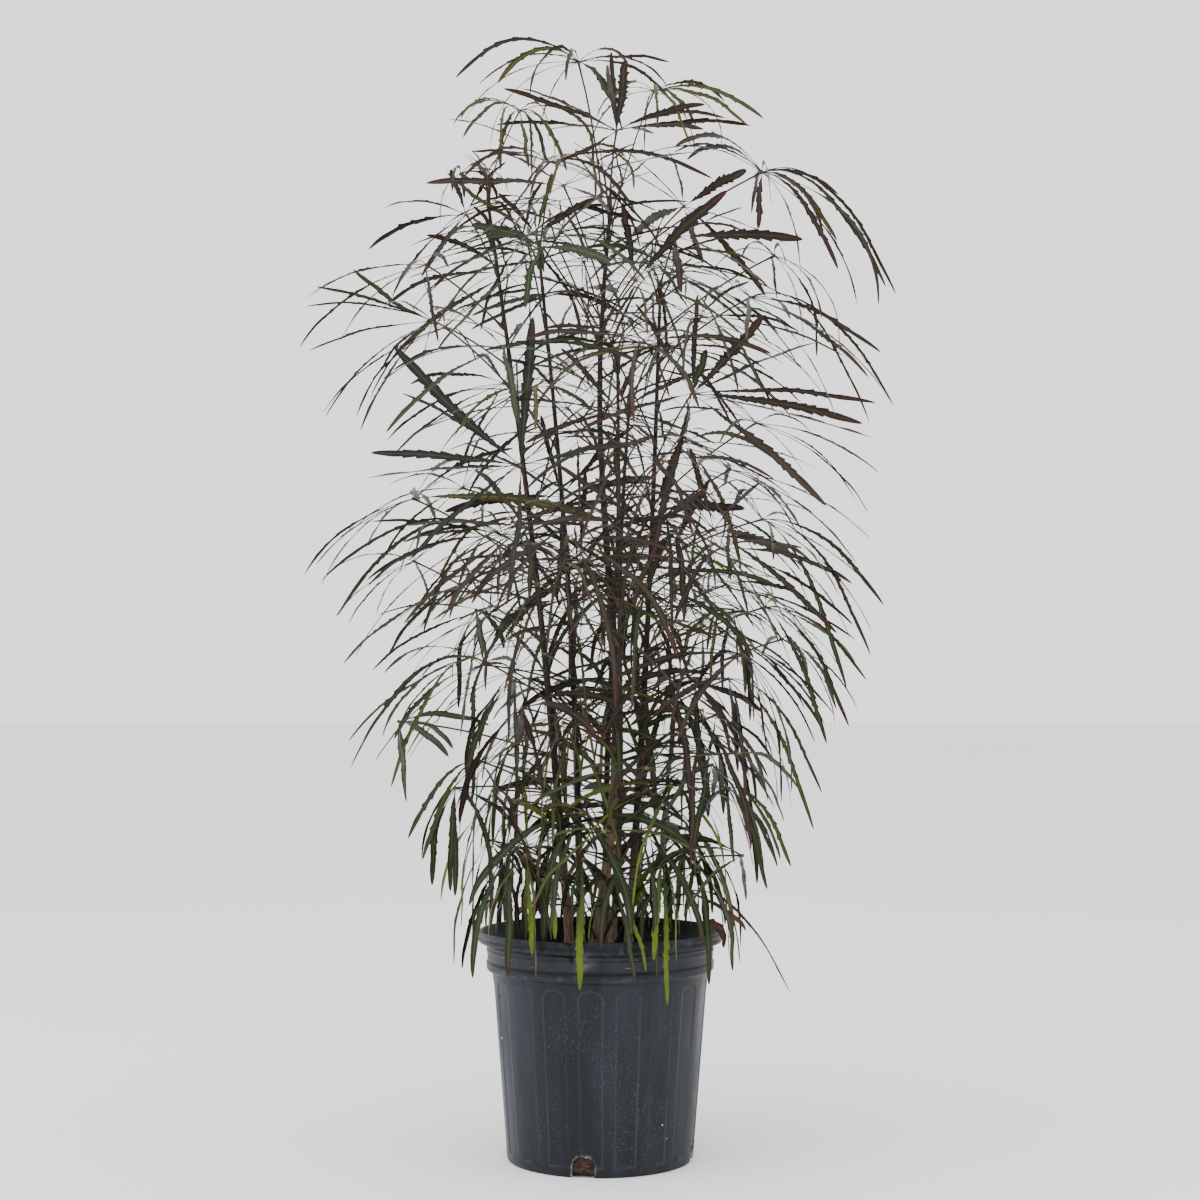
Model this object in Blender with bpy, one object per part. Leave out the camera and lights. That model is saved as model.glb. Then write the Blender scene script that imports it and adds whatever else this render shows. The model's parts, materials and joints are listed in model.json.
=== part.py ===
"""Potted false aralia: a clump of upright stems with long-stalked, finger-leaved foliage in a nursery pot.

Units are metres, +Z is up, and the origin is the centre of the pot's flat underside.
Every stem is one tapering limb. Every leaf is one node: a stalk that starts beside its stem and a whorl of
narrow leaflets fused to the end of it. The soft tip of each stem is one node with several leaves.
"""

import math
import random
from dataclasses import dataclass

import bmesh
import bpy
import numpy as np
from mathutils import Vector

# ---------------------------------------------------------------- driving dimensions
GAP = 0.0003  # air between neighbouring pieces
POT_HEIGHT = 0.248
SOIL_TOP = 0.222
STEM_FOOT = SOIL_TOP + GAP
RIM_RADIUS = 0.1325
POT_FLOOR = 0.003
WAIST_HEIGHT = 0.204
INNER_FOOT = 0.0985  # inside radius at the floor
INNER_WAIST = 0.1155  # inside radius at the waist
INNER_TOP = 0.1215  # inside radius under the lip
WALL_AIR = 0.0004  # between the pot and its filling
FLAT_RADIUS = 0.060  # of the level middle of the potting mix
PANELS = 18
PANEL_START = -5.0  # degrees from the front
PANEL_WIDTH = 12.0
PANEL_RAMP = 0.4
PANEL_DEPTH = 0.0008
PANEL_HEAD = 0.009  # how far the round head of a panel falls to its sides
NOTCHES = 4
NOTCH_START = -10.0
NOTCH_WIDTH = 0.024
NOTCH_HEIGHT = 0.023
NOTCH_INNER = 0.086
NOTCH_OUTER = 0.112
DENT_ANGLE = -12.0
DENT_DEPTH = 0.0016
RIM_RISE = 0.0025  # how much higher the warped rim stands at the front
STEM_SIDES = 8
STEM_RINGS = 11

# The pot's skin from the edge of its underside, up the outside, over the lip and down to the floor:
# radius, height, and whether the row belongs to the panels.
POT_PROFILE = (
    (0.0985, 0.0, "plain"),
    (0.1014, 0.0035, "plain"),
    (0.1021, 0.0100, "plain"),
    (0.1022, 0.0110, "recess"),
    (0.1154, 0.1805, "recess head"),
    (0.1155, 0.1815, "head"),
    (0.1178, WAIST_HEIGHT, "plain"),
    (0.1238, 0.2080, "plain"),
    (0.1240, 0.2155, "plain"),
    (0.1232, 0.2180, "plain"),
    (0.1240, 0.2300, "plain"),
    (0.1252, 0.2352, "plain"),
    (0.1326, 0.2366, "plain"),
    (0.1330, 0.2466, "plain"),
    (0.1320, POT_HEIGHT, "plain"),
    (0.1296, POT_HEIGHT, "plain"),
    (INNER_TOP, 0.2330, "plain"),
    (INNER_WAIST, WAIST_HEIGHT, "plain"),
    (INNER_FOOT, POT_FLOOR, "plain"),
)

# ---------------------------------------------------------------- how the plant grows
SEED = 11
GOLDEN_ANGLE = 137.5  # degrees from one leaf to the next round a stem
NODE_SPACING = 0.034  # height from one leaf to the next
KEPT_NODES = 4  # one node in this many carries a leaf here
LEADER_ROOM = 0.013  # no other leaf this close above or below a leader
CLEARANCE = 0.0008  # air between the blades of different leaves
SAMPLE = 0.0025  # spacing of the points that stand for a limb when clearances are tested
TRIES = 7  # turns that a leaf tries before it is skipped
FINE_STEPS = 24  # steps that a leaflet's curve is worked out in
STALK_STEPS = 6
STALK_SAG = 14  # degrees that a stalk bends down along its length
TUFT_AXIS = 0.016  # length of the soft tip that carries a stem's last leaves
BOSS_RADIUS = 0.0026  # of the swelling that a pair of stalks leaves
FOOT_SWELL = 1.5  # a stalk's foot against the stalk
HUB_RADIUS = 0.0030  # of the swelling that carries a whorl
HUB_DEPTH = 0.0026
NECK_RADIUS = 0.0008  # of a stalk just under its hub
ROOT_ZONE = 0.018  # distance from a hub within which its own leaflets may stand close together
FOOT_ZONE = 0.018  # length of a stalk that may stand close to its own limb
SPUR_SPREAD = 52  # degrees to each side that a pair of leaves parts by

# The crown's reach from the middle of the pot, by height.
CROWN_HEIGHTS = (
    0.155, 0.163, 0.22, 0.26, 0.32, 0.39, 0.43, 0.58, 0.65, 0.85, 0.94, 1.02, 1.10, 1.20, 1.242,
)
CROWN_REACH = (
    0.0, 0.150, 0.155, 0.172, 0.195, 0.23, 0.265, 0.29, 0.325, 0.325, 0.358, 0.33, 0.23, 0.175, 0.09,
)


@dataclass(frozen=True)
class LeafKind:
    """The habit of one leaf: how its leaflets spread and hang."""

    leaflets: int
    length: float
    width: float
    cup: float  # degrees that the leaflets start above the plane of their whorl
    droop: float  # degrees that a leaflet bends down from its root to its tip
    lean: float  # share of the stalk's direction in the whorl's axis, the rest being up


YOUNG = LeafKind(8, 0.120, 0.0060, 16, 100, 0.35)
FULL = LeafKind(9, 0.190, 0.0080, 10, 40, 0.50)
BROAD = LeafKind(8, 0.175, 0.0125, 12, 16, 0.80)
OLD = LeafKind(8, 0.178, 0.0088, -14, 48, 0.45)


@dataclass(frozen=True)
class Shoot:
    """One leaf where it stands on its stem, with the point that its stalk reaches to."""

    height: float  # of the stalk's foot above the ground
    hub: tuple  # the far end of the stalk
    kind: LeafKind
    turn: float = 0.0  # degrees that the whorl is turned about its own axis
    reach: float = 1.0  # leaflet length against the kind's own
    limp: float = 1.0  # droop against the kind's own


@dataclass(frozen=True)
class Stem:
    """One upright limb, from its flat foot on the potting mix to its soft tip."""

    name: str
    foot: tuple
    tip: tuple
    bow: tuple  # sideways bulge at mid height
    sway: float  # sideways S curve along X
    foot_radius: float
    tip_radius: float
    first_leaf: float  # height of the lowest leaf
    start: float  # compass degrees of the lowest leaf
    leaders: tuple  # leaves that reach the crown's outline
    tuft: tuple  # leaves of the soft tip

    def share(self, height):
        return max(0.0, height - STEM_FOOT) / (self.tip[2] - STEM_FOOT)

    def ring_heights(self):
        """The heights of the limb's sections, closer together in the root flare."""
        flare = SOIL_TOP + 0.035
        return [STEM_FOOT, SOIL_TOP + 0.006, SOIL_TOP + 0.015, *np.linspace(flare, self.tip[2], STEM_RINGS)]

    def curve(self, height):
        """The middle of the limb's smooth curve at that height."""
        share = self.share(height)
        bulge = math.sin(math.pi * share)
        wave = math.sin(2 * math.pi * share)
        x = self.foot[0] + (self.tip[0] - self.foot[0]) * share + self.bow[0] * bulge + self.sway * wave
        y = self.foot[1] + (self.tip[1] - self.foot[1]) * share + self.bow[1] * bulge
        return np.array([x, y, height])

    def at(self, height):
        """The middle of the limb's solid at that height, between its straight-sided sections."""
        heights = self.ring_heights()
        high = min(max(1, int(np.searchsorted(heights, height))), len(heights) - 1)
        low = high - 1
        share = (height - heights[low]) / (heights[high] - heights[low])
        return self.curve(heights[low]) * (1 - share) + self.curve(heights[high]) * share

    def along(self, height):
        """The limb's direction at that height."""
        way = self.at(height + 0.001) - self.at(height - 0.001)
        return way / np.linalg.norm(way)

    def radius(self, height):
        """The limb's radius at that height, with its root flare."""
        flare = 0.45 * self.foot_radius * math.exp(-(height - SOIL_TOP) / 0.012)
        return self.foot_radius + (self.tip_radius - self.foot_radius) * self.share(height) ** 0.8 + flare

    def standing_out(self, height, normal):
        """How far the limb's flat-sided section reaches towards the normal."""
        corner = 360 / STEM_SIDES
        off = (math.degrees(math.atan2(normal[1], normal[0])) + corner / 2) % corner - corner / 2
        return self.radius(height) * math.cos(math.radians(off))


STEMS = (
    Stem(
        "trunk", (-0.006, 0.002), (0.011, 0.0, 1.030), (0.008, -0.004), 0.013, 0.0065, 0.0021, 0.33, 250,
        leaders=(
            Shoot(0.990, (-0.024, 0.020, 1.200), FULL, 20, 0.80, 1.9),
            Shoot(1.000, (0.060, 0.035, 1.172), YOUNG, 0, 1.0),
            Shoot(0.960, (0.174, -0.040, 1.065), FULL, 12, 1.05, 1.6),
            Shoot(0.925, (0.094, 0.060, 1.050), BROAD, 20, 0.8),
            Shoot(0.890, (-0.060, -0.085, 0.975), BROAD, 0, 0.9),
            Shoot(0.740, (0.020, -0.105, 0.800), BROAD, 10, 0.9),
            Shoot(0.560, (0.048, -0.115, 0.620), FULL, 0, 0.9),
        ),
        tuft=(
            Shoot(0.0, (0.018, -0.010, 1.117), BROAD, 22, 0.95),
            Shoot(0.0, (-0.026, -0.050, 1.080), YOUNG, 0, 0.9),
        ),
    ),
    Stem(
        "left_stem", (-0.032, -0.008), (-0.121, -0.020, 1.036), (0.008, 0.0), 0.0, 0.0052, 0.0018, 0.36, 100,
        leaders=(
            Shoot(1.000, (-0.054, -0.060, 1.071), FULL, 0, 0.8, 1.5),
            Shoot(0.960, (-0.148, 0.035, 1.035), FULL, 0, 0.75),
            Shoot(0.860, (-0.184, 0.020, 0.915), FULL, 0, 1.0, 0.7),
            Shoot(0.835, (-0.165, -0.060, 0.895), FULL, 10, 0.85, 1.2),
            Shoot(0.710, (-0.083, -0.095, 0.745), BROAD, 25, 1.10, 0.8),
            Shoot(0.640, (-0.204, 0.000, 0.718), FULL, 0, 0.9),
            Shoot(0.500, (-0.135, -0.070, 0.545), FULL, 0, 0.95, 1.2),
            Shoot(0.440, (-0.220, 0.000, 0.475), OLD, 0, 0.85),
        ),
        tuft=(
            Shoot(0.0, (-0.087, -0.015, 1.137), YOUNG, 0, 1.05, 1.1),
            Shoot(0.0, (-0.150, -0.030, 1.065), YOUNG, 0, 0.75),
        ),
    ),
    Stem(
        "inner_stem", (-0.021, 0.021), (-0.067, 0.050, 0.985), (0.010, 0.010), 0.0, 0.0048, 0.0018, 0.38, 30,
        leaders=(
            Shoot(0.780, (-0.110, 0.120, 0.860), FULL),
        ),
        tuft=(
            Shoot(0.0, (-0.059, 0.000, 1.040), FULL, 0, 0.75, 1.3),
            Shoot(0.0, (-0.090, 0.120, 1.020), FULL, 0, 0.8, 1.3),
        ),
    ),
    Stem(
        "right_stem", (0.030, -0.008), (0.066, 0.020, 0.940), (0.004, 0.0), 0.0, 0.0050, 0.0018, 0.34, 200,
        leaders=(
            Shoot(0.905, (0.191, 0.010, 0.985), FULL, 10, 0.75, 2.2),
            Shoot(0.870, (0.161, -0.045, 0.930), FULL, 0, 1.0, 0.8),
            Shoot(0.760, (0.097, -0.075, 0.823), BROAD, 0, 1.25, 0.6),
            Shoot(0.690, (0.142, 0.000, 0.750), FULL, 0, 1.0),
            Shoot(0.610, (0.127, -0.070, 0.660), FULL, 0, 1.0),
            Shoot(0.500, (0.200, 0.010, 0.565), FULL, 0, 0.85, 1.2),
            Shoot(0.380, (0.120, -0.050, 0.430), OLD, 0, 0.9),
        ),
        tuft=(
            Shoot(0.0, (0.082, -0.020, 1.000), BROAD, 0, 0.85),
            Shoot(0.0, (0.060, 0.090, 0.985), FULL, 0, 0.8),
        ),
    ),
    Stem(
        "front_stem", (0.012, -0.030), (0.030, -0.120, 0.800), (0.0, -0.012), 0.004, 0.0042, 0.0017, 0.32, 310,
        leaders=(
            Shoot(0.620, (-0.020, -0.215, 0.680), FULL),
        ),
        tuft=(
            Shoot(0.0, (0.040, -0.185, 0.860), FULL, 0, 0.85),
            Shoot(0.0, (0.075, -0.085, 0.870), FULL, 10, 0.85),
        ),
    ),
    Stem(
        "back_stem", (0.008, 0.032), (0.020, 0.135, 0.880), (0.0, 0.010), -0.004, 0.0044, 0.0017, 0.33, 60,
        leaders=(
            Shoot(0.730, (0.100, 0.185, 0.800), FULL),
        ),
        tuft=(
            Shoot(0.0, (0.030, 0.195, 0.940), FULL, 0, 0.85),
            Shoot(0.0, (-0.020, 0.100, 0.965), BROAD, 10, 0.85),
        ),
    ),
)


# ---------------------------------------------------------------- curves and clearances
def compass(degrees):
    """The level unit vector of a compass heading."""
    return np.array([math.cos(math.radians(degrees)), math.sin(math.radians(degrees)), 0.0])


def bending_line(start, heading, rise, length, droop, curl, steps=FINE_STEPS):
    """Points along a line of that length, which bends down by droop and sideways by curl, both in degrees."""
    points = [np.array(start, float)]
    for step in range(steps):
        share = (step + 0.5) / steps
        pitch = math.radians(max(-88.0, rise - droop * share ** 1.25))
        way = compass(heading + curl * share) * math.cos(pitch)
        way[2] = math.sin(pitch)
        points.append(points[-1] + way * (length / steps))
    return np.array(points)


def sampled(line):
    """The line's points again, SAMPLE apart."""
    steps = np.linalg.norm(np.diff(line, axis=0), axis=1)
    along = np.concatenate([[0.0], np.cumsum(steps)])
    count = max(2, int(along[-1] / SAMPLE) + 1)
    places = np.linspace(0.0, along[-1], count)
    return np.stack([np.interp(places, along, line[:, axis]) for axis in range(3)], axis=1)


class Room:
    """The space that limbs and leaflets already fill, as points with a radius and an owner."""

    def __init__(self):
        self.points = np.empty((0, 3))
        self.radii = np.empty(0)
        self.owners = np.empty(0, int)

    def fill(self, points, radius, owner):
        """Takes the points for that owner; radius is one number or one for each point."""
        self.points = np.concatenate([self.points, points])
        self.radii = np.concatenate([self.radii, np.broadcast_to(radius, len(points))])
        self.owners = np.concatenate([self.owners, np.full(len(points), owner)])

    def is_free(self, points, radius, owner):
        """Whether a new line keeps CLEARANCE to every piece of another owner."""
        reach = self.radii + (radius + CLEARANCE)
        lowest, highest = points.min(axis=0), points.max(axis=0)
        near = (self.owners != owner) & (self.points > lowest - reach[:, None]).all(axis=1)
        near &= (self.points < highest + reach[:, None]).all(axis=1)
        if not near.any():
            return True
        apart = np.linalg.norm(points[:, None] - self.points[None, near], axis=2)
        return bool((apart > reach[near]).all())


def in_crown(points):
    """Whether all the points lie inside the crown's outline."""
    out = np.hypot(points[:, 0], points[:, 1])
    return bool((out < np.interp(points[:, 2], CROWN_HEIGHTS, CROWN_REACH)).all())


def clear_of_pot(points, radius):
    """Whether all the points keep that far from the pot, the potting mix and the ground."""
    out = np.hypot(points[:, 0], points[:, 1])
    heights = points[:, 2]
    inside = (out < RIM_RADIUS - 0.010 - radius) & (heights > SOIL_TOP + 0.004 + radius)
    outside = out > RIM_RADIUS + 0.003 + radius
    above = heights > POT_HEIGHT + 0.003 + radius
    return bool(((inside | outside | above) & (heights > 0.02)).all())


# ---------------------------------------------------------------- growth
@dataclass
class Leaflet:
    line: np.ndarray  # FINE_STEPS + 1 points from root to tip
    width: float
    across: np.ndarray  # the direction across the blade at each point of the line
    stations: tuple  # the points of the line that the solid passes through


@dataclass
class Leaf:
    stalk: np.ndarray
    thickness: float  # radius of the stalk
    kind: LeafKind
    turn: float  # degrees that the whorl is turned about its own axis
    leaflets: dict  # by place in the whorl


@dataclass
class Spray:
    """One foliage node: leaves whose stalks part from one foot beside a limb, or from its soft tip."""

    name: str
    rank: int  # the leaders grow first, then the tufts
    foot: np.ndarray
    normal: np.ndarray  # out from the limb
    limb_radius: float  # of the limb's tip under a tuft, or 0 for a foot beside the limb
    shoots: list
    leaves: list


def unit(vector):
    return vector / np.linalg.norm(vector)


def stalk_radius(kind):
    return 0.0011 if kind is YOUNG else 0.0014


def whorl_frame(stalk, lean):
    """The whorl's axis, its direction away from the plant, and the direction across both."""
    axis = unit(unit(stalk[-1] - stalk[-2]) * lean + np.array([0.0, 0.0, 1.0 - lean]))
    outward = (stalk[-1] - stalk[0]) * (1.0, 1.0, 0.0)
    outward = unit(outward - axis * outward.dot(axis))
    return axis, outward, np.cross(axis, outward)


def whorl_starts(shoot, stalk, random_source):
    """Each leaflet's heading, rise, length, droop, curl and roll at the end of the stalk."""
    kind = shoot.kind
    axis, outward, side = whorl_frame(stalk, kind.lean)
    starts = []
    for index in range(kind.leaflets):
        place = shoot.turn + 360.0 * (index + 0.5) / kind.leaflets
        angle = math.radians(place + random_source.uniform(-6, 6))
        cup = math.radians(kind.cup + random_source.uniform(-8, 8))
        start = (outward * math.cos(angle) + side * math.sin(angle)) * math.cos(cup) + axis * math.sin(cup)
        heading = math.degrees(math.atan2(start[1], start[0]))
        rise = math.degrees(math.asin(max(-1.0, min(1.0, start[2]))))
        shortening = 1.0 - 0.14 * (1.0 - math.cos(angle))
        length = kind.length * shoot.reach * shortening * random_source.uniform(0.84, 1.10)
        droop = kind.droop * shoot.limp * random_source.uniform(0.65, 1.30)
        curl = random_source.uniform(-16, 16)
        roll = random_source.uniform(-20, 20)
        starts.append((heading, rise, length, droop, curl, roll))
    return starts


def stations_of(droop):
    """The points of a leaflet's curve that its solid passes through: more where it bends far."""
    return (0, 5, 16, FINE_STEPS) if droop < 62 else (0, 4, 10, 17, FINE_STEPS)


def grow_stalk(shoot, foot, room, spray_owner, owner):
    """A leaf with its stalk alone, swung a little at a time about its foot until it is clear, or None."""
    thickness = stalk_radius(shoot.kind)
    for attempt in range(TRIES):
        turn = math.radians(8.0 * ((attempt + 1) // 2) * (-1) ** attempt)
        reach = np.array(shoot.hub) - foot
        reach[:2] = (
            reach[0] * math.cos(turn) - reach[1] * math.sin(turn),
            reach[0] * math.sin(turn) + reach[1] * math.cos(turn),
        )
        heading = math.degrees(math.atan2(reach[1], reach[0]))
        rise = math.degrees(math.asin(reach[2] / np.linalg.norm(reach))) + STALK_SAG / 2.25
        line = bending_line(foot, heading, rise, np.linalg.norm(reach), STALK_SAG, 0, STALK_STEPS)
        points = sampled(line)
        tested = beyond(points, foot, FOOT_ZONE)
        clear = room.is_free(tested, thickness, owner) and room.is_free(line[-1:], HUB_RADIUS, owner)
        if clear and clear_of_pot(tested, HUB_RADIUS):
            room.fill(points[: len(points) - len(tested)], thickness, spray_owner)
            room.fill(tested, thickness, owner)
            room.fill(line[-1:], HUB_RADIUS, owner)
            return Leaf(line, thickness, shoot.kind, shoot.turn, {})
    return None


def beyond(points, centre, distance):
    """Those of the points that lie further than that from the centre."""
    return points[np.linalg.norm(points - centre, axis=1) > distance]


def carried(line, across, roll):
    """The direction across a blade at each point of its line, with no twist but the roll."""
    found = []
    for place in range(len(line)):
        way = unit(line[min(place + 1, len(line) - 1)] - line[max(place - 1, 0)])
        across = unit(across - way * across.dot(way))
        turn = math.radians(roll * min(1.0, place / 14))
        found.append(across * math.cos(turn) + np.cross(way, across) * math.sin(turn))
    return np.array(found)


def grow_leaflets(shoot, leaf, room, owner, random_source):
    """Gives the leaf those leaflets of its whorl that find room."""
    half = shoot.kind.width / 2
    hub = leaf.stalk[-1]
    axis = whorl_frame(leaf.stalk, shoot.kind.lean)[0]
    kin = Room()
    kin.fill(beyond(sampled(leaf.stalk), hub, ROOT_ZONE), leaf.thickness, 0)
    for place, start in enumerate(whorl_starts(shoot, leaf.stalk, random_source)):
        heading, rise, length, droop, curl, roll = start
        stations = stations_of(droop)
        for attempt in range(TRIES):
            turn = 4.0 * ((attempt + 1) // 2) * (-1) ** attempt
            line = bending_line(hub, heading + turn, rise + turn, length, droop, curl)
            tested = sampled(line[list(stations)])[1:]
            far = beyond(tested, hub, ROOT_ZONE)
            clear = room.is_free(tested, half, owner) and kin.is_free(far, half, 1)
            if clear and in_crown(tested) and clear_of_pot(tested, half):
                room.fill(tested, half, owner)
                kin.fill(far, half, 0)
                across = carried(line, np.cross(axis, line[1] - line[0]), roll)
                leaf.leaflets[place] = Leaflet(line, shoot.kind.width, across, stations)
                break


def regular_shoots(stem):
    """The pairs of leaves that stand on the stem by the rule, as [(height, [shoots])]."""
    random_source = random.Random(f"{SEED} {stem.name}")
    pairs = []
    for node in range(int((stem.tip[2] - 0.03 - stem.first_leaf) / NODE_SPACING)):
        height = stem.first_leaf + node * NODE_SPACING
        up = stem.share(height)
        kind = OLD if height < 0.48 else FULL
        if node % 5 == 3 and height > 0.55:
            kind = BROAD
        if height > 0.95:
            kind = YOUNG
        shoots = []
        for side in (-1, 1):
            stalk = (0.110 + 0.160 * up - 0.160 * up * up) * random_source.uniform(0.70, 1.15)
            rise = math.radians(4 + 46 * up + random_source.uniform(-12, 12))
            turn = random_source.uniform(0, 40)
            heading = stem.start + node * GOLDEN_ANGLE
            heading += side * SPUR_SPREAD * random_source.uniform(0.6, 1.0)
            hub = stem.at(height) + compass(heading) * stalk * math.cos(rise)
            hub[2] += stalk * math.sin(rise)
            shoots.append(Shoot(height, tuple(hub), kind, turn, 0.95))
        if node % KEPT_NODES == 0 and all(abs(height - one.height) > LEADER_ROOM for one in stem.leaders):
            pairs.append((height, shoots))
    return pairs


def plan():
    """Each foliage node with its foot and its shoots, before anything has grown."""
    planned = []
    for stem in STEMS:
        top = np.array(stem.tip) + np.array([0.0, 0.0, GAP + TUFT_AXIS - 0.003])
        upward = np.array([0.0, 0.0, 1.0])
        planned.append(Spray(stem.name + "_tuft", 1, top, upward, stem.tip_radius, list(stem.tuft), []))
        groups = [(shoot.height, [shoot]) for shoot in stem.leaders] + regular_shoots(stem)
        for place, (height, shoots) in enumerate(sorted(groups, key=lambda one: one[0]), 1):
            middle, way = stem.at(height), stem.along(height)
            normal = sum(unit((np.array(shoot.hub) - middle) * (1.0, 1.0, 0.0)) for shoot in shoots)
            normal = unit(normal - way * normal.dot(way))
            boss = BOSS_RADIUS if len(shoots) > 1 else 0.0
            foot = middle + normal * (stem.standing_out(height, normal) + GAP + boss)
            rank = 2 if len(shoots) > 1 else 0
            planned.append(Spray(f"{stem.name}_leaf_{place:02d}", rank, foot, normal, 0.0, shoots, []))
    return planned


def grow():
    """Every foliage node of the plant, with its leaves."""
    room = Room()
    for number, stem in enumerate(STEMS):
        heights = np.arange(SOIL_TOP, stem.tip[2], SAMPLE)
        radii = np.array([stem.radius(height) for height in heights])
        room.fill(np.array([stem.at(height) for height in heights]), radii, number)
    sprays = plan()
    stalked = []
    for number, spray in sorted(enumerate(sprays, 1), key=lambda one: one[1].rank):
        for place, shoot in enumerate(spray.shoots):
            owner = 100 * number + place
            leaf = grow_stalk(shoot, spray.foot, room, -number, owner)
            if leaf is not None:
                stalked.append((owner, spray, shoot, leaf))
    for owner, spray, shoot, leaf in stalked:
        random_source = random.Random(f"{SEED} {spray.name} {len(spray.leaves)}")
        grow_leaflets(shoot, leaf, room, owner, random_source)
        spray.leaves.append(leaf)
    return [spray for spray in sprays if spray.leaves]


# ---------------------------------------------------------------- solids of the plant
def new_object(name, points, faces, material=None):
    """A mesh object from its points and faces, with all the faces turned outwards."""
    mesh = bpy.data.meshes.new(name)
    mesh.from_pydata([tuple(map(float, point)) for point in points], [], faces)
    made = bmesh.new()
    made.from_mesh(mesh)
    bmesh.ops.recalc_face_normals(made, faces=made.faces)
    made.to_mesh(mesh)
    made.free()
    if material is not None:
        mesh.materials.append(material)
    thing = bpy.data.objects.new(name, mesh)
    bpy.context.scene.collection.objects.link(thing)
    return thing


def tube(name, rings, tip=None, material=None):
    """A closed skin over rings of equal counts, flat at its start and flat or pointed at its end."""
    count = len(rings[0])
    points = [point for ring in rings for point in ring]
    faces = [list(range(count))]
    for place in range(len(rings) - 1):
        low, high = place * count, (place + 1) * count
        faces += [[low + i, low + (i + 1) % count, high + (i + 1) % count, high + i] for i in range(count)]
    last = (len(rings) - 1) * count
    if tip is None:
        faces.append(list(range(last, last + count)))
    else:
        points.append(tip)
        faces += [[last + i, last + (i + 1) % count, len(points) - 1] for i in range(count)]
    return new_object(name, points, faces, material)


def ball(name, centre, radius, normal):
    """A small faceted ball with a corner on the side away from the normal."""
    made = bmesh.new()
    bmesh.ops.create_icosphere(made, subdivisions=1, radius=radius)
    turn = Vector((0, 0, 1)).rotation_difference(Vector(normal))
    bmesh.ops.rotate(made, verts=made.verts, matrix=turn.to_matrix())
    bmesh.ops.translate(made, verts=made.verts, vec=Vector(centre))
    mesh = bpy.data.meshes.new(name)
    made.to_mesh(mesh)
    made.free()
    thing = bpy.data.objects.new(name, mesh)
    bpy.context.scene.collection.objects.link(thing)
    return thing


def blade_rings(leaflet):
    """The three-cornered sections of a keeled blade past its root, and the point at its tip."""
    line = leaflet.line[list(leaflet.stations)]
    keel = max(np.linalg.norm(np.diff(leaflet.line, axis=0), axis=1).sum() / 95, leaflet.width / 4.5)
    rings = []
    for place in range(1, len(line) - 1):
        width = leaflet.width * (0.85 if place == len(line) - 2 else 1.0)
        way = unit(line[place + 1] - line[place - 1])
        across = leaflet.across[leaflet.stations[place]]
        across = unit(across - way * across.dot(way))
        down = np.cross(across, way)
        middle = line[place]
        rings.append([middle - across * width / 2, middle + across * width / 2, middle + down * keel])
    return rings, line[-1]


class Skin:
    """The points and faces of one closed surface."""

    def __init__(self):
        self.points = []
        self.faces = []

    def add(self, points):
        """Takes the points and gives their numbers."""
        first = len(self.points)
        self.points += list(points)
        return list(range(first, len(self.points)))

    def join(self, low, high):
        """A band of faces between two rings of equal counts."""
        count = len(low)
        for corner in range(count):
            after = (corner + 1) % count
            self.faces.append([low[corner], low[after], high[after], high[corner]])

    def grow(self, ring, sections, tip):
        """Carries the ring through the sections to a point."""
        for section in sections:
            following = self.add(section)
            self.join(ring, following)
            ring = following
        end = self.add([tip])[0]
        count = len(ring)
        self.faces += [[ring[corner], ring[(corner + 1) % count], end] for corner in range(count)]


def leaf_piece(name, leaf, limb_normal=None):
    """One leaf as a closed skin: a stalk, the hub at its end and a blade out of each side of the hub."""
    line = leaf.stalk[[0, 1, 3, STALK_STEPS]]
    axis, outward, side = whorl_frame(leaf.stalk, leaf.kind.lean)
    across = unit(np.cross(line[-1] - line[0], (0.0, 0.0, 1.0)))
    turns = [math.radians(90 + 120 * corner) for corner in range(3)]
    skin = Skin()
    rings = []
    for place, middle in enumerate(line[:-1]):
        way = unit(line[place + 1] - line[max(place - 1, 0)])
        if place == 0 and limb_normal is not None:
            way = limb_normal
        level = unit(across - way * across.dot(way))
        up = np.cross(level, way)
        size = leaf.thickness * (FOOT_SWELL if place == 0 else 1.0)
        rings.append(skin.add([middle + (level * math.cos(a) + up * math.sin(a)) * size for a in turns]))
    under = line[-1] - axis * HUB_DEPTH
    neck = [under - (side * math.cos(a) + outward * math.sin(a)) * NECK_RADIUS for a in turns]
    rings.append(skin.add(neck))
    skin.faces.append(rings[0])
    for low, high in zip(rings, rings[1:]):
        skin.join(low, high)
    count = leaf.kind.leaflets
    corners = [math.radians(leaf.turn + 360.0 * corner / count) for corner in range(count)]
    hub = skin.add([line[-1] + (outward * math.cos(a) + side * math.sin(a)) * HUB_RADIUS for a in corners])
    skin.faces.append(hub)
    # The band between the hub's rim and the stalk's three corners: a blade leaves through each rim edge.
    lower = sorted(((270.0 - math.degrees(a)) % 360.0, rings[-1][k]) for k, a in enumerate(turns))
    for place in range(count):
        middle = (leaf.turn + 360.0 * (place + 0.5) / count) % 360.0
        nearest = nearest_corner(lower, middle)
        after = nearest_corner(lower, (middle + 360.0 / count) % 360.0)
        left, right = hub[place], hub[(place + 1) % count]
        if after != nearest:
            skin.faces.append([right, nearest, after])
        if place in leaf.leaflets:
            sections, tip = blade_rings(leaf.leaflets[place])
            skin.grow([left, right, nearest], sections, tip)
        else:
            skin.faces.append([left, right, nearest])
    return new_object(name, skin.points, skin.faces)


def nearest_corner(corners, angle):
    """The number of the corner whose angle, in degrees, is nearest."""
    return min(corners, key=lambda one: abs((one[0] - angle + 180.0) % 360.0 - 180.0))[1]


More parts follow.
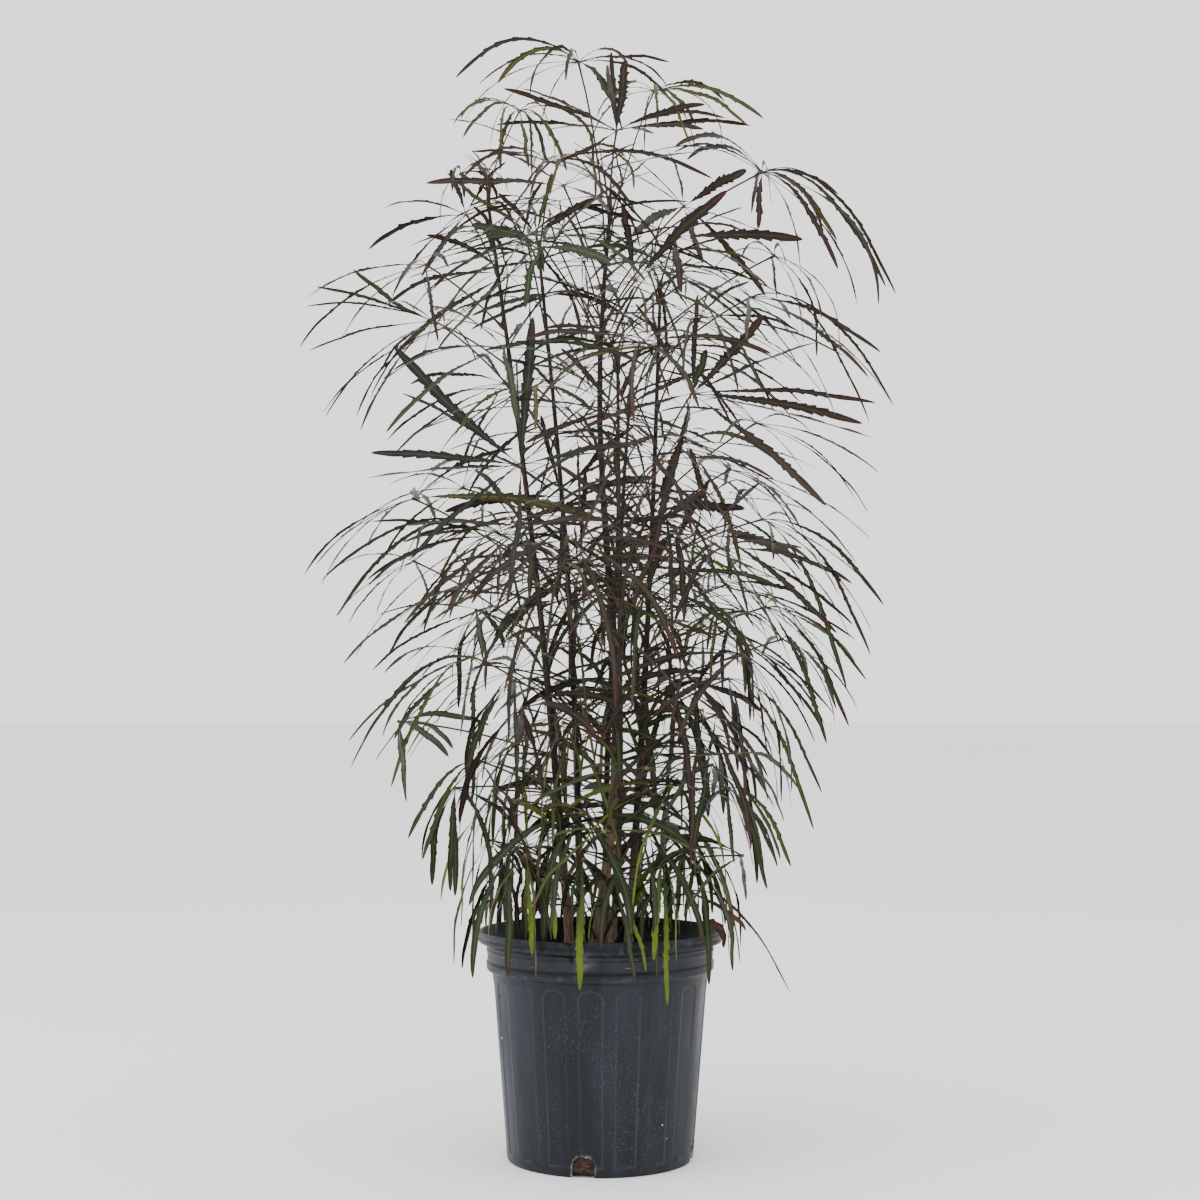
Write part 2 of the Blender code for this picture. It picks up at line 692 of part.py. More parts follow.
def largest_island(thing):
    """Keeps only the biggest closed shell of the mesh, so that it holds no scrap and no hollow."""
    made = bmesh.new()
    made.from_mesh(thing.data)
    left, islands = set(made.verts), []
    while left:
        island, edge = set(), [left.pop()]
        while edge:
            vertex = edge.pop()
            island.add(vertex)
            for link in vertex.link_edges:
                other = link.other_vert(vertex)
                if other in left:
                    left.discard(other)
                    edge.append(other)
        islands.append(island)
    islands.sort(key=len)
    for island in islands[:-1]:
        bmesh.ops.delete(made, geom=list(island), context="VERTS")
    made.to_mesh(thing.data)
    made.free()


def is_sound(mesh):
    """Whether every edge still has two faces once points a thousandth of a millimetre apart are one."""
    made = bmesh.new()
    made.from_mesh(mesh)
    bmesh.ops.remove_doubles(made, verts=made.verts, dist=1e-6)
    sound = all(len(edge.link_faces) == 2 for edge in made.edges)
    made.free()
    return sound


def fused(name, pieces, material):
    """One closed solid from overlapping pieces."""
    base, others = pieces[0], pieces[1:]
    group = bpy.data.collections.new(name + "_pieces")
    bpy.context.scene.collection.children.link(group)
    for piece in others:
        bpy.context.scene.collection.objects.unlink(piece)
        group.objects.link(piece)
    union = base.modifiers.new("Union", "BOOLEAN")
    union.operation = "UNION"
    union.operand_type = "COLLECTION"
    union.collection = group
    for solver in ("EXACT", "MANIFOLD"):
        union.solver = solver
        graph = bpy.context.evaluated_depsgraph_get()
        mesh = bpy.data.meshes.new_from_object(base.evaluated_get(graph))
        if is_sound(mesh):
            break
    base.modifiers.clear()
    base.data = mesh
    base.name = name
    mesh.name = name
    mesh.materials.clear()
    mesh.materials.append(material)
    for piece in others:
        bpy.data.objects.remove(piece)
    bpy.data.collections.remove(group)
    largest_island(base)
    return base


def add_spray(spray, material):
    """The foliage node: one leaf, or several that part from a foot or a soft tip, in one solid."""
    if not spray.limb_radius and len(spray.shoots) == 1:
        thing = leaf_piece(spray.name, spray.leaves[0], spray.normal)
        thing.data.materials.append(material)
        return thing
    if spray.limb_radius:
        low = spray.foot[2] - TUFT_AXIS + 0.003
        sizes = ((low, spray.limb_radius), (low + TUFT_AXIS, spray.limb_radius * 0.9))
        corners = [math.radians(60 * corner) for corner in range(6)]
        rings = [
            [(spray.foot[0] + r * math.cos(a), spray.foot[1] + r * math.sin(a), z) for a in corners]
            for z, r in sizes
        ]
        pieces = [tube(spray.name, rings)]
    else:
        pieces = [ball(spray.name, spray.foot, BOSS_RADIUS, spray.normal)]
    pieces += [leaf_piece("leaf", leaf) for leaf in spray.leaves]
    return fused(spray.name, pieces, material)


def add_stem(stem, material):
    """The limb, flat at its foot and at its tip."""
    corners = [math.radians(360 * corner / STEM_SIDES) for corner in range(STEM_SIDES)]
    rings = []
    for height in stem.ring_heights():
        middle, radius = stem.curve(height), stem.radius(height)
        rings.append([middle + np.array([math.cos(a), math.sin(a), 0.0]) * radius for a in corners])
    return tube(stem.name, rings, material=material)


# ---------------------------------------------------------------- pot and potting mix
def turned(angle, radius, height):
    """The point at that radius, with the angle measured from the front towards +X."""
    return (radius * math.sin(math.radians(angle)), -radius * math.cos(math.radians(angle)), height)


def panel_columns():
    """The angle of each column of the pot's skin, and whether a panel starts there."""
    half, ramp = PANEL_WIDTH / 2, PANEL_RAMP / 2
    columns = []
    for panel in range(PANELS):
        middle = PANEL_START + 360 / PANELS * panel
        columns += [middle - half - ramp, middle - half + ramp, middle + half - ramp, middle + half + ramp]
    return columns


def rim_dent(angle, height):
    """How far the rim is pushed in at that angle."""
    off = (angle - DENT_ANGLE + 180) % 360 - 180
    return DENT_DEPTH * math.exp(-((off / 5.0) ** 2)) * max(0.0, min(1.0, (height - 0.228) / 0.012))


def rim_rise(angle, height):
    """How far the rim stands higher at that angle, where it has warped."""
    return RIM_RISE * max(0.0, math.cos(math.radians(angle))) * max(0.0, min(1.0, (height - 0.233) / 0.012))


def add_pot(material):
    """The pot: a turned shell with recessed, round-headed panels, a bead, a lip and four drain notches."""
    columns = panel_columns()
    points, faces, rows = [], [], []
    for radius, height, kind in POT_PROFILE:
        row = []
        for place, angle in enumerate(columns):
            in_panel = place % 4 in (1, 2)
            r, z = radius - rim_dent(angle, height), height + rim_rise(angle, height)
            if kind == "recess" and in_panel:
                r -= PANEL_DEPTH
            if kind in ("head", "recess head"):
                z -= PANEL_HEAD if in_panel or place % 4 in (0, 3) else 0.0
                r -= PANEL_DEPTH if in_panel and kind == "recess head" else 0.0
            row.append([len(points)])
            points.append(turned(angle, r, z))
            if place % 4 == 1 and kind in ("head", "recess head"):
                middle = angle + (PANEL_WIDTH - PANEL_RAMP) / 2
                r = radius - (PANEL_DEPTH if kind == "recess head" else 0.0)
                row[-1].append(len(points))
                points.append(turned(middle, r, height))
        rows.append(row)
    for low, high in zip(rows, rows[1:]):
        for place in range(len(columns)):
            after = (place + 1) % len(columns)
            faces.append([*low[place], low[after][0], high[after][0], *reversed(high[place])])
    faces.append([column[0] for column in rows[0]])
    faces.append([column[0] for column in rows[-1]])
    pot = new_object("pot", points, faces, material)
    cutters = bpy.data.collections.new("drain_cutters")
    bpy.context.scene.collection.children.link(cutters)
    for notch in range(NOTCHES):
        angle = NOTCH_START + 360 / NOTCHES * notch
        outline = [(-NOTCH_WIDTH / 2, -0.010), (NOTCH_WIDTH / 2, -0.010)]
        for step in range(9):
            turn = math.radians(22.5 * step)
            crown = NOTCH_HEIGHT - NOTCH_WIDTH / 2
            outline.append((NOTCH_WIDTH / 2 * math.cos(turn), crown + NOTCH_WIDTH / 2 * math.sin(turn)))
        rings = []
        for depth in (NOTCH_INNER, NOTCH_OUTER):
            out = np.array(turned(angle, depth, 0.0))
            side = np.array(turned(angle + 90, 1.0, 0.0))
            rings.append([out + side * x + np.array([0.0, 0.0, z]) for x, z in outline])
        cutter = tube("drain_cutter", rings)
        bpy.context.scene.collection.objects.unlink(cutter)
        cutters.objects.link(cutter)
    cut = pot.modifiers.new("Drain notches", "BOOLEAN")
    cut.operation = "DIFFERENCE"
    cut.operand_type = "COLLECTION"
    cut.collection = cutters
    cut.solver = "EXACT"
    mesh = bpy.data.meshes.new_from_object(pot.evaluated_get(bpy.context.evaluated_depsgraph_get()))
    pot.modifiers.clear()
    pot.data = mesh
    mesh.name = "pot"
    mesh.materials.clear()
    mesh.materials.append(material)
    for cutter in list(cutters.objects):
        bpy.data.objects.remove(cutter)
    bpy.data.collections.remove(cutters)
    return pot


def inner_radius(height):
    """The pot's inside radius at that height."""
    heights = [POT_FLOOR, WAIST_HEIGHT, 0.2330]
    return float(np.interp(height, heights, [INNER_FOOT, INNER_WAIST, INNER_TOP]))


def add_potting_mix(material):
    """The filling of the pot, flat where the stems stand and sunk a little at the wall."""
    edge = SOIL_TOP - 0.004
    low = POT_FLOOR + WALL_AIR
    profile = (
        (inner_radius(low) - WALL_AIR, low),
        (inner_radius(WAIST_HEIGHT) - WALL_AIR, WAIST_HEIGHT),
        (inner_radius(edge) - WALL_AIR, edge),
        (FLAT_RADIUS, SOIL_TOP),
    )
    columns = panel_columns()
    rings = [[turned(angle, radius, height) for angle in columns] for radius, height in profile]
    return tube("potting_mix", rings, material=material)


# ---------------------------------------------------------------- materials and assembly
def plain_material(name, colour, roughness):
    material = bpy.data.materials.new(name)
    material.use_nodes = True
    shader = material.node_tree.nodes["Principled BSDF"]
    shader.inputs["Base Color"].default_value = (*colour, 1.0)
    shader.inputs["Roughness"].default_value = roughness
    return material


def main():
    """Clears the scene and builds every node."""
    for thing in list(bpy.data.objects):
        bpy.data.objects.remove(thing)
    add_pot(plain_material("pot_plastic", (0.035, 0.041, 0.048), 0.5))
    add_potting_mix(plain_material("potting_mix", (0.045, 0.028, 0.018), 0.95))
    for stem in STEMS:
        add_stem(stem, plain_material(stem.name + "_bark", (0.055, 0.036, 0.026), 0.8))
    for spray in grow():
        add_spray(spray, plain_material(spray.name + "_green", (0.030, 0.042, 0.022), 0.5))
    bpy.context.view_layer.update()


if __name__ == "__main__":
    main()
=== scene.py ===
"""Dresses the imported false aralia: barked stems, finger-leaved foliage and a scuffed nursery pot.

Units are metres, +Z is up, and the origin is the centre of the pot's flat underside. The foliage grows by the
same seeded rule as the solids and is carried on, within the same reach, to more leaves and to toothed blades.
"""

from __future__ import annotations

import json
import logging
import math
import random
import sys
from collections import Counter, defaultdict
from collections.abc import Callable, Iterable, Sequence
from dataclasses import dataclass, field
from enum import Enum

import bpy
import numpy as np
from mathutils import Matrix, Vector, noise

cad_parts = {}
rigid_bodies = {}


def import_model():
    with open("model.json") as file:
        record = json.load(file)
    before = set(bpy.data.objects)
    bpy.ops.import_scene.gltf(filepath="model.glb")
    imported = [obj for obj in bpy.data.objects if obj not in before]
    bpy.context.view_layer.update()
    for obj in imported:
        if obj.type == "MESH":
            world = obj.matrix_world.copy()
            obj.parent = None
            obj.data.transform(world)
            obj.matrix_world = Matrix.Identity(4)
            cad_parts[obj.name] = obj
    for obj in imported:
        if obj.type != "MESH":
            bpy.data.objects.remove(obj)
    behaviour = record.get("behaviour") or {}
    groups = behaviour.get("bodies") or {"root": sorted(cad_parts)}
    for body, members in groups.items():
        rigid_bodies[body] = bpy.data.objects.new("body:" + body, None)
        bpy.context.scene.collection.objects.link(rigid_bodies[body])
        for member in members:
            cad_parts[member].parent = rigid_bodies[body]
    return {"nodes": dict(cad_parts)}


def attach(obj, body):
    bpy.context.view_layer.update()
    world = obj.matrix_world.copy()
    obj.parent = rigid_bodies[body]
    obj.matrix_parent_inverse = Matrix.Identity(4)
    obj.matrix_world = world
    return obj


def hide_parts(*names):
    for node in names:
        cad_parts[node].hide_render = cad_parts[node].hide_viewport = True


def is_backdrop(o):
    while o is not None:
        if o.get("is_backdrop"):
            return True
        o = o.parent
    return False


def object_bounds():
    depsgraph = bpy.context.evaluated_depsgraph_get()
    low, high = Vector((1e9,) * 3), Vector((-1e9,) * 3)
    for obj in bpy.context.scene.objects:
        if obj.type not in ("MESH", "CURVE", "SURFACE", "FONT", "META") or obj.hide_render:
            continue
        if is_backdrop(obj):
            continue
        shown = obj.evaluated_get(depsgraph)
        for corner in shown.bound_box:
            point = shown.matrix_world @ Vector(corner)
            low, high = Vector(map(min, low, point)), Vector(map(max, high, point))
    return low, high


LOG = logging.getLogger("false_aralia")
Array = np.ndarray
Point = Colour = tuple[float, float, float]
Piece, Material, Socket = bpy.types.Object, bpy.types.Material, bpy.types.NodeSocket

# ---------------------- sizes shared with the solids
GAP = 0.0003
POT_HEIGHT, SOIL_TOP, RIM_RADIUS = 0.248, 0.222, 0.1325
STEM_FOOT = SOIL_TOP + GAP
STEM_SIDES, STEM_RINGS = 8, 11

# ---------------------- the rule that the plant grows by
SEED = 11
GOLDEN_ANGLE = 137.5
NODE_SPACING = 0.034
KEPT_NODES = 4  # one node in this many carries a leaf among the solids
LEADER_ROOM = 0.013
CLEARANCE = 0.0008
SAMPLE = 0.0025
TRIES = 7
FINE_STEPS = 24
STALK_STEPS, STALK_SAG = 6, 14
TUFT_AXIS = 0.016
BOSS_RADIUS, HUB_RADIUS = 0.0026, 0.0030
ROOT_ZONE = FOOT_ZONE = 0.018
SPUR_SPREAD = 52
CROWN = (  # the heights and reaches of the crown's outline
    (0.155, 0.163, 0.22, 0.26, 0.32, 0.39, 0.43, 0.58, 0.65, 0.85, 0.94, 1.02, 1.10, 1.20, 1.242),
    (0.0, 0.150, 0.155, 0.172, 0.195, 0.23, 0.265, 0.29, 0.325, 0.325, 0.358, 0.33, 0.23, 0.175, 0.09),
)


# ---------------------- curves and clearances
def compass(degrees: float) -> Array:
    """The level unit vector of a compass heading."""
    return np.array([math.cos(math.radians(degrees)), math.sin(math.radians(degrees)), 0.0])


def slanting(heading: float, rise: float, length: float = 1.0) -> Array:
    """The vector of that length with that heading and rise, in degrees."""
    way = compass(heading) * length * math.cos(math.radians(rise))
    way[2] = length * math.sin(math.radians(rise))
    return way


def unit(vector: Array) -> Array:
    """The vector at length 1."""
    return vector / np.linalg.norm(vector)


def units(rows: Array) -> Array:
    """Each row at length 1."""
    return rows / np.linalg.norm(rows, axis=1)[:, None]


def swing(attempt: int, step: float) -> float:
    """How far to turn for that attempt: none, then a step each way, then two."""
    return step * ((attempt + 1) // 2) * (-1) ** attempt


def distances(line: Array) -> Array:
    """How far along the line each of its points is."""
    return np.concatenate([[0.0], np.cumsum(np.linalg.norm(np.diff(line, axis=0), axis=1))])


def read_at(places: Array, along: Array, rows: Array) -> Array:
    """Rows that are given at the distances along, read again at those places."""
    return np.stack([np.interp(places, along, column) for column in rows.T], axis=1)


def bending_line(
    start: Sequence[float], heading: float, rise: float, length: float, droop: float, curl: float,
    steps: int = FINE_STEPS,
) -> Array:
    """Points along a line which bends down by droop and sideways by curl.

    Args:
        start: where the line begins.
        heading: its first compass heading, in degrees.
        rise: its first angle above level, in degrees.
        length: its whole length.
        droop: degrees that it bends down.
        curl: degrees that it bends sideways.
        steps: straight steps in it.

    Returns:
        The points, one row each.
    """
    points = [np.array(start, float)]
    for step in range(steps):
        share = (step + 0.5) / steps
        way = slanting(heading + curl * share, max(-88.0, rise - droop * share ** 1.25))
        points.append(points[-1] + way * (length / steps))
    return np.array(points)


def sampled(line: Array) -> Array:
    """The line's points again, SAMPLE apart."""
    along = distances(line)
    return read_at(np.linspace(0.0, along[-1], max(2, int(along[-1] / SAMPLE) + 1)), along, line)


def beyond(points: Array, centre: Array, distance: float) -> Array:
    """Those of the points that lie further than that from the centre."""
    return points[np.linalg.norm(points - centre, axis=1) > distance]


def in_crown(points: Array, spare: float = 0.0) -> bool:
    """Whether all the points lie inside the crown's outline, grown by the spare."""
    out = np.hypot(points[:, 0], points[:, 1])
    return bool((out < np.interp(points[:, 2], *CROWN) + spare).all())


def clear_of_pot(points: Array, radius: float) -> bool:
    """Whether all the points keep that far from the pot, the potting mix and the ground."""
    out, heights = np.hypot(points[:, 0], points[:, 1]), points[:, 2]
    inside = (out < RIM_RADIUS - 0.010 - radius) & (heights > SOIL_TOP + 0.004 + radius)
    outside = out > RIM_RADIUS + 0.003 + radius
    above = heights > POT_HEIGHT + 0.003 + radius
    return bool(((inside | outside | above) & (heights > 0.02)).all())


# ---------------------- many small things joined from arrays
def mark(mesh: bpy.types.Mesh, name: str, values: Array, kind: str = "FLOAT", domain: str = "POINT") -> None:
    """Keeps one value for each point or edge of the mesh."""
    values = np.asarray(values, np.float32 if kind == "FLOAT" else bool)
    mesh.attributes.new(name, kind, domain).data.foreach_set("value", values)


@dataclass(eq=False)
class Skin:
    """A closed tube of rings: a leaflet, a stalk, a chip or a grain."""

    points: Array  # rings, sides, 3
    tone: float = 0.5
    surface: Array | None = None  # rings, sides, 2
    creases: tuple[int, ...] = ()  # places in the ring where the skin has a sharp edge

    @property
    def triangles(self) -> int:
        """How many triangles it makes."""
        rings, sides = self.points.shape[:2]
        return 2 * (rings - 1) * sides + 2 * (sides - 2)


@dataclass
class Sheaf:
    """Skins joined into one mesh."""

    skins: list[Skin] = field(default_factory=list)

    @property
    def triangles(self) -> int:
        """How many triangles all of it makes."""
        return sum(skin.triangles for skin in self.skins)

    def build(self, name: str, material: Material) -> Piece:
        """The joined piece, with its map and its tone.

        Args:
            name: what the piece is called.
            material: its finish.

        Returns:
            The piece.
        """
        quads, caps, places, creased, tones, surfaces = [], [], [], [], [], []
        start = 0
        for skin in self.skins:
            rings, sides = skin.points.shape[:2]
            ring = np.arange(sides)
            low = np.arange((rings - 1) * sides).reshape(rings - 1, sides) + start
            after = np.roll(low, -1, axis=1)
            quads.append(np.stack([low, after, after + sides, low + sides], axis=2).reshape(-1))
            caps += [ring[::-1] + start, ring + start + (rings - 1) * sides]
            places.append(np.tile(ring, rings))
            creased.append(np.isin(places[-1], skin.creases))
            tones.append(np.full(rings * sides, skin.tone))
            surface = np.zeros((rings, sides, 2)) if skin.surface is None else skin.surface
            surfaces.append(surface.reshape(-1, 2))
            start += rings * sides
        corners = np.concatenate(quads + caps)
        sizes = np.array([4] * (sum(map(len, quads)) // 4) + [len(cap) for cap in caps])
        mesh = bpy.data.meshes.new(name)
        mesh.vertices.add(start)
        mesh.vertices.foreach_set("co", np.concatenate([skin.points.reshape(-1) for skin in self.skins]))
        mesh.loops.add(len(corners))
        mesh.loops.foreach_set("vertex_index", corners.astype(np.int32))
        mesh.polygons.add(len(sizes))
        mesh.polygons.foreach_set("loop_start", (np.cumsum(sizes) - sizes).astype(np.int32))
        mesh.update(calc_edges=True)
        mesh.shade_smooth()
        ends = np.empty(len(mesh.edges) * 2, dtype=np.int32)
        mesh.edges.foreach_get("vertices", ends)
        first, second = ends.reshape(-1, 2).T
        place, crease = np.concatenate(places), np.concatenate(creased)
        sharp = crease[first] & crease[second] & (place[first] == place[second])
        mark(mesh, "sharp_edge", sharp, "BOOLEAN", "EDGE")
        mark(mesh, "tone", np.concatenate(tones))
        surface = np.concatenate(surfaces)[corners].reshape(-1).astype(np.float32)
        mesh.uv_layers.new(name="surface").data.foreach_set("uv", surface)
        if mesh.validate():
            LOG.warning("%s had faces that were mended", name)
        mesh.materials.append(material)
        piece = bpy.data.objects.new(name, mesh)
        bpy.context.scene.collection.objects.link(piece)
        return piece


def tube_skin(line: Array, radii: Array, sides: int, tone: float = 0.5) -> Skin:
    """A round skin along the line, with that radius at each of its points."""
    ways = units(np.gradient(line, axis=0))
    first = np.cross(ways[0], (0.0, 0.0, 1.0) if abs(ways[0][2]) < 0.9 else (1.0, 0.0, 0.0))
    turns = np.radians(360 / sides * np.arange(sides))
    rings = []
    for point, way, radius in zip(line, ways, radii):
        first = unit(first - way * first.dot(way))
        ring = np.outer(np.cos(turns), first) + np.outer(np.sin(turns), np.cross(way, first))
        rings.append(point + radius * ring)
    return Skin(np.array(rings), tone)


# ---------------------- leaflets
@dataclass(frozen=True)
class BladeShape:
    """The outline and section of one kind of leaflet."""

    pitch: float  # between the teeth of one side
    waist: float  # half width between teeth, as a share of that at a tooth
    thorny: bool  # whether a tooth rises late and sharp, as a thorn, or evenly, as on a saw
    root: float  # share of the length that is its own fine stalk
    first_tooth: float
    last_tooth: float
    fullest: float  # where it is widest
    fold: float  # how far its halves rise, as a share of their width
    stalk_radius: float = 0.00055
    thickness: float = 0.00042
    twist: float = 62.0  # degrees that it may turn about its own line
    thinnest: float = 0.00018  # half width

    def half_width(self, share: Array) -> Array:
        """The half width at each share of the length, from 0 to 1."""
        rise = np.clip((share - self.root) / (self.fullest - self.root), 0.0, 1.0)
        fall = np.clip((share - self.fullest) / (1.0 - self.fullest), 0.0, 1.0)
        return np.sin(0.5 * math.pi * rise) ** 0.75 * np.sqrt(np.clip(1.0 - fall ** 2.3, 0.0, 1.0))

    def teeth(self, length: float, late: float, pitch: float, source: random.Random) -> tuple[Array, Array]:
        """One side's teeth, as places along the blade and the share of the half width there.

        Args:
            length: the blade's length.
            late: how far on this side's first tooth is, in pitches.
            pitch: between its teeth.
            source: where the small differences between its teeth come from.

        Returns:
            The places and the shares.
        """
        marks = [(0.0, self.waist)]
        place = self.first_tooth * length + late * pitch
        while place < self.last_tooth * length:
            gap = pitch * source.uniform(0.7, 1.35)
            marks += [(place, source.uniform(0.86, 1.12)), (place + 0.10 * pitch, self.waist)]
            if self.thorny:
                marks.append((place + 0.60 * gap, self.waist + 0.06))
            place += gap
        marks += [(min(place, length * 0.93), 0.5 + 0.5 * self.waist), (length, 0.5 + 0.5 * self.waist)]
        return tuple(np.array(marks).T)

    def skin(self, leaflet: Leaflet, slim: float, tone: float, source: random.Random) -> Skin:
        """The closed skin of one leaflet.

        Args:
            leaflet: its middle line and width.
            slim: its width as a share of the leaflet's.
            tone: the number that its material reads.
            source: where its small differences come from.

        Returns:
            The skin.
        """
        along = distances(leaflet.line)
        length = float(along[-1])
        pitch = self.pitch * source.uniform(0.85, 1.15)
        toothed = [self.teeth(length, late, pitch, source) for late in (0.0, 0.5)]
        plain = np.array([0.0, 0.4 * self.root, self.root, 1.35 * self.root, 0.84, 0.90, 0.95, 0.98, 1.0])
        places = np.unique(np.round(np.concatenate([plain * length, toothed[0][0], toothed[1][0]]), 6))
        places = places[np.concatenate([[True], np.diff(places) > 0.00035])]
        places[-1] = length
        share = places / length
        middle, across = (read_at(places, along, rows) for rows in (leaflet.line, leaflet.across))
        way = units(np.gradient(middle, axis=0))
        across = units(across - way * (across * way).sum(axis=1)[:, None])
        side = np.cross(way, across)
        turned = source.uniform(-self.twist, self.twist) * (0.15 if leaflet.placed else 1.0)
        twist = math.radians(turned) * np.clip(share * 1.8, 0, 1)[:, None]
        up = side * np.cos(twist) - across * np.sin(twist)
        across = across * np.cos(twist) + side * np.sin(twist)
        sway = source.uniform(0.0004, 0.0012) * np.sin(share * source.uniform(7, 13) + source.uniform(0, 6))
        middle = middle + across * (sway * np.clip(share * 3, 0, 1) * np.clip((1 - share) * 4, 0, 1))[:, None]
        half = 0.5 * leaflet.width * slim * self.half_width(share)
        left, right = (np.maximum(half * np.interp(places, *teeth), self.thinnest) for teeth in toothed)
        lifts = [0.16 * np.sin(share * source.uniform(16, 26) + source.uniform(0, 6)) for _ in range(2)]
        thick = self.thickness * (0.4 + 0.6 * np.clip((1 - share) * 5, 0, 1))
        blade_x = np.stack([left, 0.15 * left, -0.15 * right, -right, np.zeros_like(share)], axis=1)
        left, right = left * (self.fold + lifts[0]), right * (self.fold + lifts[1])
        blade_z = np.stack([left, 0.1 * thick, 0.1 * thick, right, -thick], axis=1)
        angles = np.radians([0.0, 66.0, 114.0, 180.0, 270.0])
        opened = np.clip((share - 0.7 * self.root) / (0.8 * self.root), 0.0, 1.0)[:, None]
        x = self.stalk_radius * np.cos(angles) * (1 - opened) + blade_x * opened
        z = self.stalk_radius * np.sin(angles) * (1 - opened) + blade_z * opened
        points = middle[:, None] + across[:, None] * x[:, :, None] + up[:, None] * z[:, :, None]
        surface = np.stack(np.broadcast_arrays([1.0, 0.575, 0.425, 0.0, 0.5], share[:, None]), axis=2)
        return Skin(points, tone, surface, (0, 3))


SLENDER = BladeShape(0.0135, 0.62, True, 0.10, 0.16, 0.76, 0.60, 0.22)
SAW = BladeShape(0.0122, 0.66, False, 0.09, 0.15, 0.80, 0.62, 0.16)
THORNED = BladeShape(0.0066, 0.58, True, 0.05, 0.12, 0.84, 0.62, 0.14)
FINE = BladeShape(0.0112, 0.54, True, 0.12, 0.18, 0.74, 0.55, 0.28)
LANK = BladeShape(0.0115, 0.78, True, 0.09, 0.16, 0.72, 0.58, 0.14)
CURLED = BladeShape(0.0095, 0.80, False, 0.06, 0.14, 0.78, 0.55, 0.62, 0.0006, 0.0005)


@dataclass(frozen=True)
class LeafKind:
    """The habit of one leaf: how its leaflets spread and hang, and their outline."""

    leaflets: int
    length: float
    width: float
    cup: float
    droop: float
    lean: float
    blade: BladeShape
    slim: tuple[float, float]  # how wide its leaflets come out, as shares of the width


YOUNG = LeafKind(8, 0.120, 0.0060, 16, 100, 0.35, FINE, (0.75, 1.20))
FULL = LeafKind(9, 0.190, 0.0080, 10, 40, 0.50, SLENDER, (0.62, 1.12))
BROAD = LeafKind(8, 0.175, 0.0125, 12, 16, 0.80, SAW, (0.55, 0.85))
OLD = LeafKind(8, 0.178, 0.0088, -14, 48, 0.45, LANK, (0.82, 1.22))
BUD = LeafKind(5, 0.050, 0.0042, 58, 24, 0.50, FINE, (0.80, 1.20))
HANGING = LeafKind(6, 0.138, 0.0092, -34, 62, 0.30, LANK, (0.82, 1.25))
SPROUT = LeafKind(5, 0.060, 0.0060, 36, 30, 0.30, FINE, (0.80, 1.20))
DRAPED = LeafKind(4, 0.120, 0.0085, -46, 40, 0.20, SAW, (0.80, 1.10))


@dataclass(frozen=True)
class Shoot:
    """One leaf where it stands on its stem, with the point that its stalk reaches to."""

    height: float
    hub: Point
    kind: LeafKind
    turn: float = 0.0
    reach: float = 1.0
    limp: float = 1.0


def shoots(*rows: Sequence) -> tuple[Shoot, ...]:
    """Shoots from rows of a height and a hub in millimetres, then a kind and what else differs."""
    return tuple(Shoot(row[0] / 1000, tuple(place / 1000 for place in row[1:4]), *row[4:]) for row in rows)


@dataclass(frozen=True)
class Stem:
    """One upright limb, from its flat foot on the potting mix to its soft tip."""

    name: str
    foot: tuple[float, float]
    tip: Point
    bow: tuple[float, float]
    sway: float
    foot_radius: float
    tip_radius: float
    first_leaf: float
    start: float
    finer: float  # the share of its places left free that carry a finer leaf
    leaders: tuple[Shoot, ...]
    tuft: tuple[Shoot, ...]

    def share(self, height: float) -> float:
        """How far up the limb that height is, from 0 to 1."""
        return max(0.0, height - STEM_FOOT) / (self.tip[2] - STEM_FOOT)

    def curve(self, height: float) -> Array:
        """The middle of the limb's smooth curve at that height."""
        share = self.share(height)
        bulge, wave = math.sin(math.pi * share), math.sin(2 * math.pi * share)
        x = self.foot[0] + (self.tip[0] - self.foot[0]) * share + self.bow[0] * bulge + self.sway * wave
        y = self.foot[1] + (self.tip[1] - self.foot[1]) * share + self.bow[1] * bulge
        return np.array([x, y, height])

    def at(self, height: float) -> Array:
        """The middle of the solid limb at that height, between its straight-sided sections."""
        heights = [STEM_FOOT, SOIL_TOP + 0.006, SOIL_TOP + 0.015]
        heights += list(np.linspace(SOIL_TOP + 0.035, self.tip[2], STEM_RINGS))
        high = min(max(1, int(np.searchsorted(heights, height))), len(heights) - 1)
        share = (height - heights[high - 1]) / (heights[high] - heights[high - 1])
        return self.curve(heights[high - 1]) * (1 - share) + self.curve(heights[high]) * share

    def along(self, height: float) -> Array:
        """The limb's direction at that height."""
        return unit(self.at(height + 0.001) - self.at(height - 0.001))

    def radius(self, height: float) -> float:
        """The limb's radius at that height, with its root flare."""
        flare = 0.45 * self.foot_radius * math.exp(-(height - SOIL_TOP) / 0.012)
        return self.foot_radius + (self.tip_radius - self.foot_radius) * self.share(height) ** 0.8 + flare

    def standing_out(self, height: float, normal: Array) -> float:
        """How far the limb's flat-sided section reaches towards the normal."""
        corner = 360 / STEM_SIDES
        off = (math.degrees(math.atan2(normal[1], normal[0])) + corner / 2) % corner - corner / 2
        return self.radius(height) * math.cos(math.radians(off))


